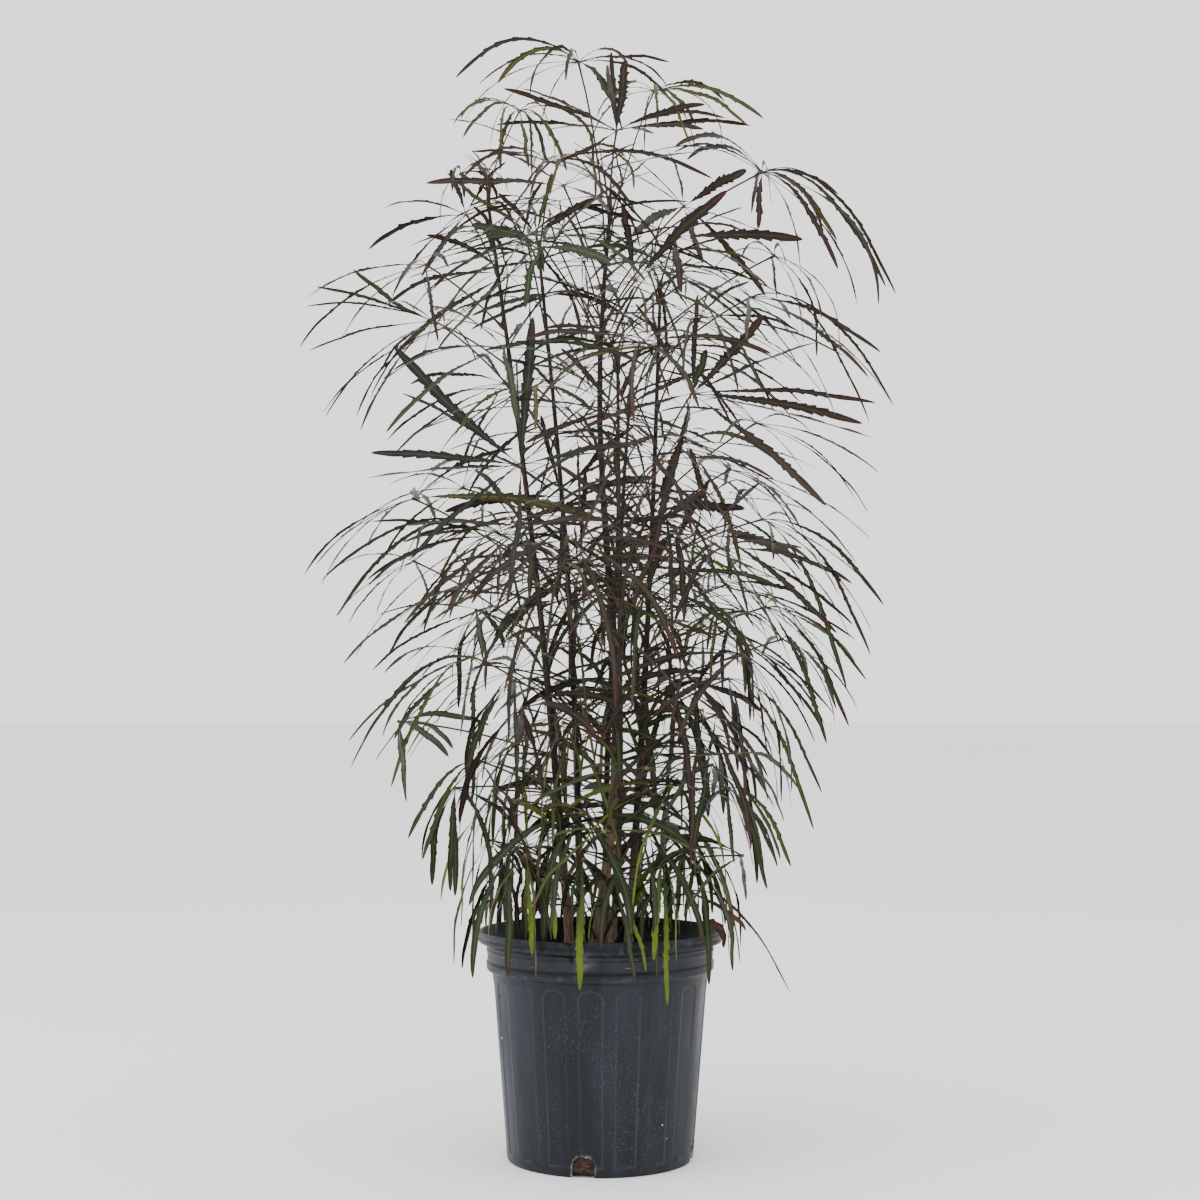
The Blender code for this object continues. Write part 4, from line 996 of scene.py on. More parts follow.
@dataclass
class Growth:
    """Grows the plant: first the leaves of the solids, then the finer ones between them."""

    stems: Sequence[Stem]
    fine_air: float = 0.0002  # between the blades of the finer leaves
    fine_girth: float = 0.20  # of a finer blade's width, kept clear round its middle line
    fine_spare: float = 0.006  # beyond the crown's outline
    low_heights: tuple[float, float, float] = (0.300, 0.68, 0.050)  # of the hanging leaves, and their step
    high: float = 0.73  # above this only that share of the finer leaves is left
    high_share: float = 0.50

    def __post_init__(self) -> None:
        """Fills the room with the limbs."""
        self.room = Room()
        for number, stem in enumerate(self.stems):
            heights = np.arange(SOIL_TOP, stem.tip[2], SAMPLE)
            radii = np.array([stem.radius(height) for height in heights])
            self.room.fill(np.array([stem.at(height) for height in heights]), radii, number)

    @staticmethod
    def whorl_frame(stalk: Array, lean: float) -> tuple[Array, Array, Array]:
        """The whorl's axis, its direction away from the plant, and the direction across both."""
        axis = unit(unit(stalk[-1] - stalk[-2]) * lean + np.array([0.0, 0.0, 1.0 - lean]))
        outward = (stalk[-1] - stalk[0]) * (1.0, 1.0, 0.0)
        outward = unit(outward - axis * outward.dot(axis))
        return axis, outward, np.cross(axis, outward)

    def whorl_starts(self, shoot: Shoot, stalk: Array, source: random.Random) -> list[Start]:
        """How each leaflet sets out at the end of the stalk."""
        kind = shoot.kind
        axis, outward, side = self.whorl_frame(stalk, kind.lean)
        starts = []
        for index in range(kind.leaflets):
            angle = math.radians(shoot.turn + 360.0 * (index + 0.5) / kind.leaflets + source.uniform(-6, 6))
            cup = math.radians(kind.cup + source.uniform(-8, 8))
            way = (outward * math.cos(angle) + side * math.sin(angle)) * math.cos(cup) + axis * math.sin(cup)
            heading = math.degrees(math.atan2(way[1], way[0]))
            rise = math.degrees(math.asin(max(-1.0, min(1.0, way[2]))))
            shortening = 1.0 - 0.14 * (1.0 - math.cos(angle))
            length = kind.length * shoot.reach * shortening * source.uniform(0.84, 1.10)
            droop = kind.droop * shoot.limp * source.uniform(0.65, 1.30)
            curl, roll = source.uniform(-16, 16), source.uniform(-20, 20)
            starts.append(Start(heading, rise, length, droop, curl, roll))
        return starts

    @staticmethod
    def carried(line: Array, across: Array, roll: float) -> Array:
        """The direction across a blade at each point of its line, with no twist but the roll."""
        found = []
        for place in range(len(line)):
            way = unit(line[min(place + 1, len(line) - 1)] - line[max(place - 1, 0)])
            across = unit(across - way * across.dot(way))
            turn = math.radians(roll * min(1.0, place / 14))
            found.append(across * math.cos(turn) + np.cross(way, across) * math.sin(turn))
        return np.array(found)

    def grow_stalk(
        self, shoot: Shoot, foot: Array, node: str, stem: Stem, owner: int, foot_owner: int, air: float,
    ) -> Leaf | None:
        """A leaf with its stalk alone, swung a little at a time about its foot until it is clear.

        Args:
            shoot: the leaf wanted.
            foot: where its stalk starts.
            node: the solid that it belongs to, or its stem's name.
            stem: its stem.
            owner: the number that the stalk fills the room under.
            foot_owner: the number that the stalk's foot fills it under.
            air: what it keeps to its neighbours.

        Returns:
            The leaf, or None where it finds no room.
        """
        thickness = 0.0011 if shoot.kind is YOUNG else 0.0014
        for attempt in range(TRIES):
            turn = math.radians(swing(attempt, 8.0))
            x, y, z = np.array(shoot.hub) - foot
            x, y = x * math.cos(turn) - y * math.sin(turn), x * math.sin(turn) + y * math.cos(turn)
            length = np.linalg.norm(np.array([x, y, z]))
            rise = math.degrees(math.asin(z / length)) + STALK_SAG / 2.25
            line = bending_line(foot, math.degrees(math.atan2(y, x)), rise, length, STALK_SAG, 0, STALK_STEPS)
            points = sampled(line)
            tested = beyond(points, foot, FOOT_ZONE)
            clear = self.room.is_free(tested, thickness, owner, air)
            clear = clear and self.room.is_free(line[-1:], HUB_RADIUS, owner, air)
            if clear and clear_of_pot(tested, HUB_RADIUS):
                self.room.fill(points[: len(points) - len(tested)], thickness, foot_owner)
                self.room.fill(tested, thickness, owner)
                self.room.fill(line[-1:], HUB_RADIUS, owner)
                return Leaf(node, stem, line, thickness, shoot.kind)
        return None

    def add_leaflet(self, leaf: Leaf, place: int, line: Array, width: float, roll: float) -> None:
        """Puts one leaflet into the leaf's whorl."""
        axis = self.whorl_frame(leaf.stalk, leaf.kind.lean)[0]
        across = self.carried(line, np.cross(axis, line[1] - line[0]), roll)
        leaf.leaflets[place] = Leaflet(line, width, across)

    def grow_leaflets(self, leaf: Leaf, starts: list[Start], owner: int) -> None:
        """Gives the leaf those leaflets of its whorl that the solids have room for."""
        half, hub = leaf.kind.width / 2, leaf.stalk[-1]
        kin = Room()
        kin.fill(beyond(sampled(leaf.stalk), hub, ROOT_ZONE), leaf.thickness, 0)
        for place, start in enumerate(starts):
            stations = [0, 5, 16, FINE_STEPS] if start.droop < 62 else [0, 4, 10, 17, FINE_STEPS]
            for attempt in range(TRIES):
                turn = swing(attempt, 4.0)
                line = start.line(hub, turn, turn)
                tested = sampled(line[stations])[1:]
                far = beyond(tested, hub, ROOT_ZONE)
                clear = self.room.is_free(tested, half, owner) and kin.is_free(far, half, 1)
                if clear and in_crown(tested) and clear_of_pot(tested, half):
                    self.room.fill(tested, half, owner)
                    kin.fill(far, half, 0)
                    self.add_leaflet(leaf, place, line, leaf.kind.width, start.roll)
                    break

    def add_finer_leaflets(self, leaf: Leaf, starts: list[Start], owner: int) -> None:
        """Completes a whorl with slimmer leaflets where there was no room for a full one."""
        for place, start in enumerate(starts):
            if place in leaf.leaflets:
                continue
            for attempt in range(9):
                width = leaf.kind.width * (0.75 if attempt < 5 else 0.55)
                shorter = 1.0 if attempt < 3 else 0.85 if attempt < 6 else 0.7
                line = start.line(leaf.stalk[-1], swing(attempt, 5.0), 0.0, shorter)
                tested, girth = sampled(line)[2:], width * self.fine_girth
                clear = self.room.is_free(tested, girth, owner, self.fine_air)
                if clear and in_crown(tested, self.fine_spare) and clear_of_pot(tested, girth):
                    self.room.fill(tested, girth, owner)
                    self.add_leaflet(leaf, place, line, width, start.roll)
                    break

    def regular_shoots(self, stem: Stem) -> list[tuple[int, float, list[Shoot]]]:
        """The pairs of leaves that stand on the stem by the rule, with the number of their node."""
        source = random.Random(f"{SEED} {stem.name}")
        pairs = []
        for node in range(int((stem.tip[2] - 0.03 - stem.first_leaf) / NODE_SPACING)):
            height = stem.first_leaf + node * NODE_SPACING
            up = stem.share(height)
            kind = BROAD if node % 5 == 3 and height > 0.55 else OLD if height < 0.48 else FULL
            kind = YOUNG if height > 0.95 else kind
            pair = []
            for side in (-1, 1):
                stalk = (0.110 + 0.160 * up - 0.160 * up * up) * source.uniform(0.70, 1.15)
                rise, turn = 4 + 46 * up + source.uniform(-12, 12), source.uniform(0, 40)
                heading = stem.start + node * GOLDEN_ANGLE
                heading += side * SPUR_SPREAD * source.uniform(0.6, 1.0)
                hub = stem.at(height) + slanting(heading, rise, stalk)
                pair.append(Shoot(height, tuple(hub), kind, turn, 0.95))
            if all(abs(height - one.height) > LEADER_ROOM for one in stem.leaders):
                pairs.append((node, height, pair))
        return pairs

    @staticmethod
    def foot_beside(stem: Stem, height: float, grown: Sequence[Shoot], boss: float = 0.0) -> Array:
        """Where the stalks of these shoots part from the limb."""
        middle, way = stem.at(height), stem.along(height)
        normal = sum(unit((np.array(shoot.hub) - middle) * (1.0, 1.0, 0.0)) for shoot in grown)
        normal = unit(normal - way * normal.dot(way))
        return middle + normal * (stem.standing_out(height, normal) + GAP + boss)

    def plan(self) -> list[tuple[int, str, Stem, Array, Sequence[Shoot]]]:
        """Each foliage solid before it has grown: its rank, name, stem, foot and shoots."""
        planned = []
        for stem in self.stems:
            top = np.array(stem.tip) + np.array([0.0, 0.0, GAP + TUFT_AXIS - 0.003])
            planned.append((1, stem.name + "_tuft", stem, top, stem.tuft))
            groups = [(shoot.height, [shoot]) for shoot in stem.leaders]
            regular = self.regular_shoots(stem)
            groups += [(height, two) for node, height, two in regular if not node % KEPT_NODES]
            for place, (height, grown) in enumerate(sorted(groups, key=lambda one: one[0]), 1):
                rank, boss = (2, BOSS_RADIUS) if len(grown) > 1 else (0, 0.0)
                foot = self.foot_beside(stem, height, grown, boss)
                planned.append((rank, f"{stem.name}_leaf_{place:02d}", stem, foot, grown))
        return planned

    def grow_main(self) -> list[Leaf]:
        """The leaves of the solids, with their whorls completed."""
        stalked = []
        planned = sorted(enumerate(self.plan(), 1), key=lambda one: one[1][0])
        for number, (_, name, stem, foot, grown) in planned:
            for owner, shoot in enumerate(grown, 100 * number):
                leaf = self.grow_stalk(shoot, foot, name, stem, owner, -number, CLEARANCE)
                if leaf is not None:
                    stalked.append((owner, shoot, leaf))
        counts, whorls = Counter(), []
        for owner, shoot, leaf in stalked:
            source = random.Random(f"{SEED} {leaf.node} {counts[leaf.node]}")
            counts[leaf.node] += 1
            whorls.append(self.whorl_starts(shoot, leaf.stalk, source))
            self.grow_leaflets(leaf, whorls[-1], owner)
        for (owner, _, leaf), starts in zip(stalked, whorls):
            self.add_finer_leaflets(leaf, starts, owner)
        return [leaf for *_, leaf in stalked]

    def grow_chosen(self, chosen: Iterable[tuple[str, Shoot]], first_owner: int) -> list[Leaf]:
        """Leaves placed one by one on the limb of that name, each with the leaflets that find room."""
        stems = {stem.name: stem for stem in self.stems}
        leaves = []
        for owner, (name, shoot) in enumerate(chosen, first_owner):
            foot = self.foot_beside(stems[name], shoot.height, [shoot])
            leaf = self.grow_stalk(shoot, foot, name, stems[name], owner, owner, self.fine_air)
            if leaf is not None:
                source = random.Random(f"{SEED} chosen {owner}")
                self.add_finer_leaflets(leaf, self.whorl_starts(shoot, leaf.stalk, source), owner)
                if len(leaf.leaflets) > 1:
                    leaves.append(leaf)
        return leaves

    def low_shoots(self, stem: Stem) -> Iterable[Shoot]:
        """Hanging leaves all the way up the lower part of a limb."""
        source = random.Random(f"{SEED} low {stem.name}")
        for place, height in enumerate(np.arange(*self.low_heights)):
            heading = stem.start + 180 + place * GOLDEN_ANGLE + source.uniform(-25, 25)
            stalk, rise = source.uniform(0.060, 0.150), source.uniform(-4, 34)
            hub = tuple(stem.at(height) + slanting(heading, rise, stalk))
            kind = source.choice((OLD, HANGING, HANGING, HANGING))
            yield Shoot(float(height), hub, kind, source.uniform(0, 40), source.uniform(0.85, 1.1))

    def tip_shoots(self, stem: Stem) -> Iterable[Shoot]:
        """The small folded leaves that open round a limb's tip."""
        source = random.Random(f"{SEED} tips {stem.name}")
        for place in range(2):
            heading = stem.start + 180 * place + source.uniform(-25, 25)
            rise, stalk = source.uniform(48, 78), source.uniform(0.026, 0.052)
            hub = tuple(np.array(stem.tip) + slanting(heading, rise, stalk))
            yield Shoot(stem.tip[2] - 0.004, hub, BUD, source.uniform(0, 70), source.uniform(0.8, 1.2))

    def grow_each(self, shoots_of: Callable[[Stem], Iterable[Shoot]], first_owner: int) -> list[Leaf]:
        """The leaves that such a rule gives to every limb."""
        chosen = [(stem.name, shoot) for stem in self.stems for shoot in shoots_of(stem)]
        return self.grow_chosen(chosen, first_owner)

    def grow_finer(self) -> list[Leaf]:
        """The leaves of the nodes that the solids leave out."""
        stalked: list[tuple[int, Shoot, Leaf, random.Random]] = []
        owner = 100_000
        for stem in self.stems:
            source = random.Random(f"{SEED} finer {stem.name}")
            for node, height, pair in self.regular_shoots(stem):
                share = stem.finer * (self.high_share if height > self.high else 1.0)
                for shoot in pair:
                    if node % KEPT_NODES and source.random() < share:
                        foot = self.foot_beside(stem, height, [shoot])
                        leaf = self.grow_stalk(shoot, foot, stem.name, stem, owner, owner, self.fine_air)
                        if leaf is not None:
                            stalked.append((owner, shoot, leaf, source))
                    owner += 1
        for owner, shoot, leaf, source in stalked:
            self.add_finer_leaflets(leaf, self.whorl_starts(shoot, leaf.stalk, source), owner)
        return [leaf for _, _, leaf, _ in stalked if len(leaf.leaflets) > 2]

    @classmethod
    def add_fans(cls, leaves: list[Leaf]) -> None:
        """Gives the listed leaflets to the leaves whose hubs are nearest."""
        hubs = np.array([leaf.stalk[-1] for leaf in leaves])
        share = np.linspace(0.0, 1.0, FINE_STEPS + 1)
        for place, *fingers in FANS:
            apart = np.linalg.norm(hubs - np.array(place) / 1000, axis=1)
            leaf = leaves[int(np.argmin(apart))]
            LOG.info("fan of %d on a hub %.0f mm from its place", len(fingers), 1000 * apart.min())
            hub = leaf.stalk[-1]
            for number, (*tip, width, bow, tint) in enumerate(fingers, 100 + len(leaf.leaflets)):
                line = hub + np.outer(share, np.array(tip) / 1000 - hub)
                line[:, 2] += 4 * (bow / 1000) * share * (1 - share)
                across = cls.carried(line, np.cross(line[1] - line[0], (0.0, 1.0, 0.0)), 0.0)
                leaf.leaflets[number] = Leaflet(line, width / 10_000, across, tint, True)


# ---------------------- how a maker works at the bench
class Bench:
    """Small helpers round the modelling operators."""

    @staticmethod
    def clear_selection() -> None:
        """Leaves nothing selected, so that an operator acts on its own piece alone."""
        bpy.ops.object.select_all(action="DESELECT")

    @staticmethod
    def pick(piece: Piece) -> None:
        """Selects the piece and nothing else."""
        Bench.clear_selection()
        piece.select_set(True)
        bpy.context.view_layer.objects.active = piece

    @staticmethod
    def name(piece: Piece, name: str) -> Piece:
        """Names the piece and its mesh."""
        piece.name = piece.data.name = name
        return piece

    @staticmethod
    def settle(piece: Piece) -> None:
        """Puts the piece's place, turn and scale into its mesh."""
        Bench.pick(piece)
        bpy.ops.object.transform_apply(location=True, rotation=True, scale=True)

    @staticmethod
    def turn_outwards(piece: Piece, apart: float = 0.00002) -> None:
        """Merges doubled points and turns all the faces outwards."""
        Bench.pick(piece)
        bpy.ops.object.mode_set(mode="EDIT")
        bpy.ops.mesh.select_all(action="SELECT")
        bpy.ops.mesh.remove_doubles(threshold=apart)
        bpy.ops.mesh.normals_make_consistent(inside=False)
        bpy.ops.object.mode_set(mode="OBJECT")

    @staticmethod
    def drawn_form(name: str, rings: Sequence[tuple[Array, float]], columns: int) -> Piece:
        """A circle drawn along ring by ring, each ring level, and closed at both ends.

        Args:
            name: what the piece is called.
            rings: each ring's middle and radius, in order.
            columns: points in a ring.

        Returns:
            The closed piece.
        """
        Bench.clear_selection()
        middle, radius = rings[0]
        bpy.ops.mesh.primitive_circle_add(
            vertices=columns, radius=radius, fill_type="NGON", location=tuple(middle),
        )
        piece = Bench.name(bpy.context.object, name)
        Bench.settle(piece)
        bpy.ops.object.mode_set(mode="EDIT")
        bpy.ops.mesh.select_all(action="SELECT")
        for onward, wide in rings[1:]:
            bpy.ops.mesh.extrude_region_move(TRANSFORM_OT_translate={"value": tuple(onward - middle)})
            grown = wide / radius
            bpy.ops.transform.resize(value=(grown, grown, 1), center_override=tuple(onward))
            middle, radius = onward, wide
        bpy.ops.object.mode_set(mode="OBJECT")
        Bench.turn_outwards(piece)
        return piece

    @staticmethod
    def turned_form(name: str, rows: Sequence[tuple[float, float]], columns: int) -> Piece:
        """The same about the middle of the pot, from each ring's radius and height."""
        return Bench.drawn_form(name, [(np.array([0.0, 0.0, high]), wide) for wide, high in rows], columns)

    @staticmethod
    def points_of(piece: Piece) -> Array:
        """The piece's points, one row each."""
        flat = np.empty(len(piece.data.vertices) * 3)
        piece.data.vertices.foreach_get("co", flat)
        return flat.reshape(-1, 3)

    @staticmethod
    def move_points(piece: Piece, points: Array) -> None:
        """Puts the piece's points where these rows say."""
        piece.data.vertices.foreach_set("co", points.reshape(-1))
        piece.data.update()

    @staticmethod
    def smooth(piece: Piece, degrees: float) -> None:
        """Shades the piece smooth, but for edges sharper than that."""
        Bench.pick(piece)
        bpy.ops.object.shade_smooth_by_angle(angle=math.radians(degrees))

    @staticmethod
    def apply(piece: Piece) -> None:
        """Applies the piece's modifiers."""
        Bench.pick(piece)
        for modifier in list(piece.modifiers):
            bpy.ops.object.modifier_apply(modifier=modifier.name)


def soft_noise(points: Array, scale: float, seed: float = 0.0) -> Array:
    """Smooth noise from about -1 to 1 at each point, with features about that far apart."""
    shift = Vector((seed, seed * 1.7, seed * 0.6))
    return np.array([noise.noise(Vector(point) / scale + shift) for point in points])


def fit(piece: Piece, slot: str, *solids: str) -> Piece:
    """Fixes the finished piece to the body, in place of those solids."""
    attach(piece, "root")
    if solids:
        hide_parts(*solids)
    LOG.info("%s: %d faces, stands for %d solids", piece.name, len(piece.data.polygons), len(solids))
    return piece


# ---------------------- foliage
@dataclass
class Foliage:
    """All the leaves, with their stalks and hubs, as joined pieces stem by stem."""

    solids: set[str]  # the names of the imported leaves
    most_triangles: int = 190_000
    stalk_sides: int = 7
    hub_radius: float = 0.0021
    clasp: float = 0.007  # how far up the stalk its swollen foot reaches
    # shares of bronze, deep green, olive and golden leaves, from the foot of the crown to its top
    tint_heights: tuple[float, ...] = (0.25, 0.42, 0.62, 0.98, 1.12)
    tint_shares: tuple[tuple[float, ...], ...] = (
        (0.03, 0.54, 0.23, 0.20), (0.14, 0.62, 0.18, 0.06), (0.54, 0.35, 0.11, 0.0), (0.62, 0.26, 0.12, 0.0),
        (0.46, 0.12, 0.42, 0.0),
    )

    def grow(self) -> list[Leaf]:
        """Every leaf of the dressed plant."""
        growth = Growth(STEMS)
        leaves = growth.grow_main()
        leaves += growth.grow_chosen(LOW_SHOOTS, 90_000)
        leaves += growth.grow_each(growth.tip_shoots, 97_000)
        leaves += growth.grow_finer()
        leaves += growth.grow_each(growth.low_shoots, 95_000)
        growth.add_fans(leaves)
        LOG.info("leaves: %d, leaflets: %d", len(leaves), sum(len(leaf.leaflets) for leaf in leaves))
        return leaves

    def tint_of(self, leaf: Leaf, source: random.Random) -> Tint:
        """The colour dealt to a leaf."""
        for *hub, tint in HUB_TINTS:
            if np.linalg.norm(leaf.stalk[-1] - np.array(hub) / 1000) < 0.010:
                return tint
        height = leaf.stalk[-1][2] - (0.10 if leaf.kind in (HANGING, SPROUT, DRAPED) else 0.0)
        shares = [np.interp(height, self.tint_heights, column) for column in zip(*self.tint_shares)]
        return source.choices((BR, GR, OL, GO), shares)[0]

    def leaflet_skins(self, leaf: Leaf, source: random.Random) -> dict[Tint, list[Skin]]:
        """The leaf's leaflets, by their colour."""
        tint = self.tint_of(leaf, source)
        slim, mood = source.uniform(*leaf.kind.slim), source.uniform(0.0, 1.0)
        skins: defaultdict[Tint, list[Skin]] = defaultdict(list)
        for place, leaflet in leaf.leaflets.items():
            tone = min(1.0, max(0.0, mood + source.uniform(-0.25, 0.25)))
            own, blade = slim * source.uniform(0.86, 1.10), leaf.kind.blade
            if leaflet.placed:
                own = 1.0
                blade = THORNED if leaflet.width > 0.0147 else SAW if leaflet.width > 0.008 else SLENDER
            elif leaf.kind is BROAD and place % 4 == 1 and leaf.stalk[-1][2] < 1.08:
                own = 1.05
            skins[leaflet.tint or tint].append(blade.skin(leaflet, own, tone, source))
        return skins

    def stalk_skins(self, leaf: Leaf, source: random.Random) -> tuple[Skin, Skin]:
        """The stalk with its clasping foot, and the small knob that its leaflets part from."""
        line = leaf.stalk
        height = line[0][2]
        inner = line[0] - np.array([0.0, 0.0, 0.010])
        if height < leaf.stem.tip[2]:
            start = leaf.stem.at(height - 0.004)
            inner = start + (line[0] - start) * 0.35
        along = distances(line)
        length = along[-1]
        regular = np.linspace(0.022 / self.clasp, length / self.clasp, 12)
        places = np.concatenate([[0.0, 0.3, 0.6, 1.0, 1.7], regular]) * self.clasp
        places = np.unique(np.minimum(places, length))
        slender = leaf.thickness * 0.74
        radii = slender * (1.0 + 1.25 * np.exp(-((places / self.clasp) ** 2)))
        radii += slender * 0.35 * np.exp(-(((length - places) / 0.006) ** 2))
        points = np.concatenate([[inner], read_at(places, along, line)])
        radii = np.concatenate([[radii[0] * 1.1], radii])
        tone = source.uniform(0.0, 1.0)
        shares = np.array([-0.9, -0.55, 0.0, 0.6, 0.95])
        knob = line[-1] + np.outer(shares, unit(line[-1] - line[-2])) * self.hub_radius
        girths = self.hub_radius * np.sqrt(1.0 - shares ** 2 * 0.96)
        sides = self.stalk_sides
        return tube_skin(points, radii, sides, tone), tube_skin(knob, girths, sides, tone)

    def parted(self, bunch: list[tuple[str, list[Skin]]]) -> Iterable[tuple[set[str], Sheaf]]:
        """The bunch in parts that each stay under the limit of triangles, with the names that each holds."""
        held, sheaf = set(), Sheaf()
        for node, skins in bunch:
            if sheaf.triangles + sum(skin.triangles for skin in skins) > self.most_triangles:
                yield held, sheaf
                held, sheaf = set(), Sheaf()
            held.add(node)
            sheaf.skins += skins
        yield held, sheaf

    def build(self, leaves: list[Leaf]) -> None:
        """The joined pieces, each standing for the solids whose leaves it holds."""
        bunches: defaultdict[tuple[str, Tint], list[tuple[str, list[Skin]]]] = defaultdict(list)
        stalks: defaultdict[str, Sheaf] = defaultdict(Sheaf)
        nodes: defaultdict[str, set[str]] = defaultdict(set)
        knobs = Sheaf()
        for number, leaf in enumerate(leaves):
            source = random.Random(f"{SEED} dress {number}")
            for tint, skins in self.leaflet_skins(leaf, source).items():
                bunches[leaf.stem.name, tint].append((leaf.node, skins))
            stalk, knob = self.stalk_skins(leaf, source)
            stalks[leaf.stem.name].skins.append(stalk)
            knobs.skins.append(knob)
            nodes[leaf.stem.name] |= {leaf.node} & self.solids
        finishes = {tint: tint.value.mix() for tint in Tint}
        for (stem, tint), bunch in bunches.items():
            for part, (held, sheaf) in enumerate(self.parted(bunch), 1):
                piece = sheaf.build(f"{stem}_{tint.name.lower()}_leaves_{part}", finishes[tint])
                fit(piece, "foliage", *sorted(held & self.solids))
        stalk_finish = Crumb("leaf_stalk", (0.020, 0.012, 0.011), (0.075, 0.050, 0.030), 140.0).mix()
        for stem, sheaf in stalks.items():
            fit(sheaf.build(stem + "_stalks", stalk_finish), "foliage", *sorted(nodes[stem]))
        hub_finish = Crumb("leaf_hub", (0.055, 0.033, 0.018), (0.18, 0.12, 0.055), 300.0).mix()
        fit(knobs.build("leaf_hubs", hub_finish), "foliage")


# ---------------------- limbs
@dataclass
class Limbs:
    """The barked limbs: brown and ringed below, dark and smooth above."""

    columns: int = 18
    ring_spacing: float = 0.0060
    buried: float = 0.004  # how far the bark goes on below the top of the potting mix
    bud: tuple[tuple[float, float], ...] = (  # heights above the tip and shares of its radius
        (0.004, 0.95), (0.009, 0.80), (TUFT_AXIS - 0.002, 0.62), (TUFT_AXIS + 0.004, 0.35),
    )
    most_joints: int = 200

    def build(self) -> None:
        """One piece for each limb."""
        old, young = Bark().mix(), Bark(turning=(0.25, 0.37)).mix()
        for number, stem in enumerate(STEMS):
            piece = self.limb(stem, number)
            piece.data.materials.append(young if number else old)
            fit(piece, "bark", stem.name)

    def limb(self, stem: Stem, number: int) -> Piece:
        """The limb drawn up from its foot, with a bud at its tip and the relief of its bark."""
        low, high = SOIL_TOP - self.buried, stem.tip[2]
        heights = np.arange(SOIL_TOP + 0.001, high - 0.002, self.ring_spacing)
        heights = np.concatenate([[low], heights, [high]])
        rings = [(stem.at(max(height, STEM_FOOT)), stem.radius(max(height, STEM_FOOT))) for height in heights]
        rings[0] = (rings[0][0] + np.array([0.0, 0.0, low - STEM_FOOT]), rings[0][1] * 1.1)
        top, radius = rings[-1]
        rings += [(top + np.array([0.0, 0.0, rise]), radius * share) for rise, share in self.bud]
        piece = Bench.drawn_form(stem.name + "_bark", rings, self.columns)
        points = Bench.points_of(piece)
        middles = np.array([stem.at(min(max(height, STEM_FOOT), high)) for height in points[:, 2]])
        outward = (points - middles) * (1.0, 1.0, 0.0)
        reach = np.linalg.norm(outward, axis=1)
        outward /= np.maximum(reach, 1e-6)[:, None]
        lumps = soft_noise(points * (1.0, 1.0, 0.35), 0.006, number * 5.0)
        fine = soft_noise(points * (1.0, 1.0, 0.5), 0.0024, number * 3.0)
        relief = reach * (0.045 * lumps + 0.022 * fine)
        for node in range(self.most_joints):
            height = stem.first_leaf + node * NODE_SPACING
            if height > high - 0.02:
                break
            relief += 0.00035 * np.exp(-(((points[:, 2] - height) / 0.0022) ** 2))
            relief -= 0.00020 * np.exp(-(((points[:, 2] - height - 0.006) / 0.0020) ** 2))
        roots = np.exp(-np.maximum(points[:, 2] - SOIL_TOP, 0) / 0.010)
        around = np.arctan2(outward[:, 1], outward[:, 0])
        relief += roots * reach * 0.16 * np.cos(3 * around + number * 2.0)
        Bench.move_points(piece, points + outward * relief[:, None])
        Bench.smooth(piece, 60.0)
        return piece


# ---------------------- pot
def off(angles: Array, middle: float, pitch: float = 360.0) -> Array:
    """How far each angle is from the middle, or from the nearest of those a pitch apart, in degrees."""
    return (angles - middle + pitch / 2) % pitch - pitch / 2


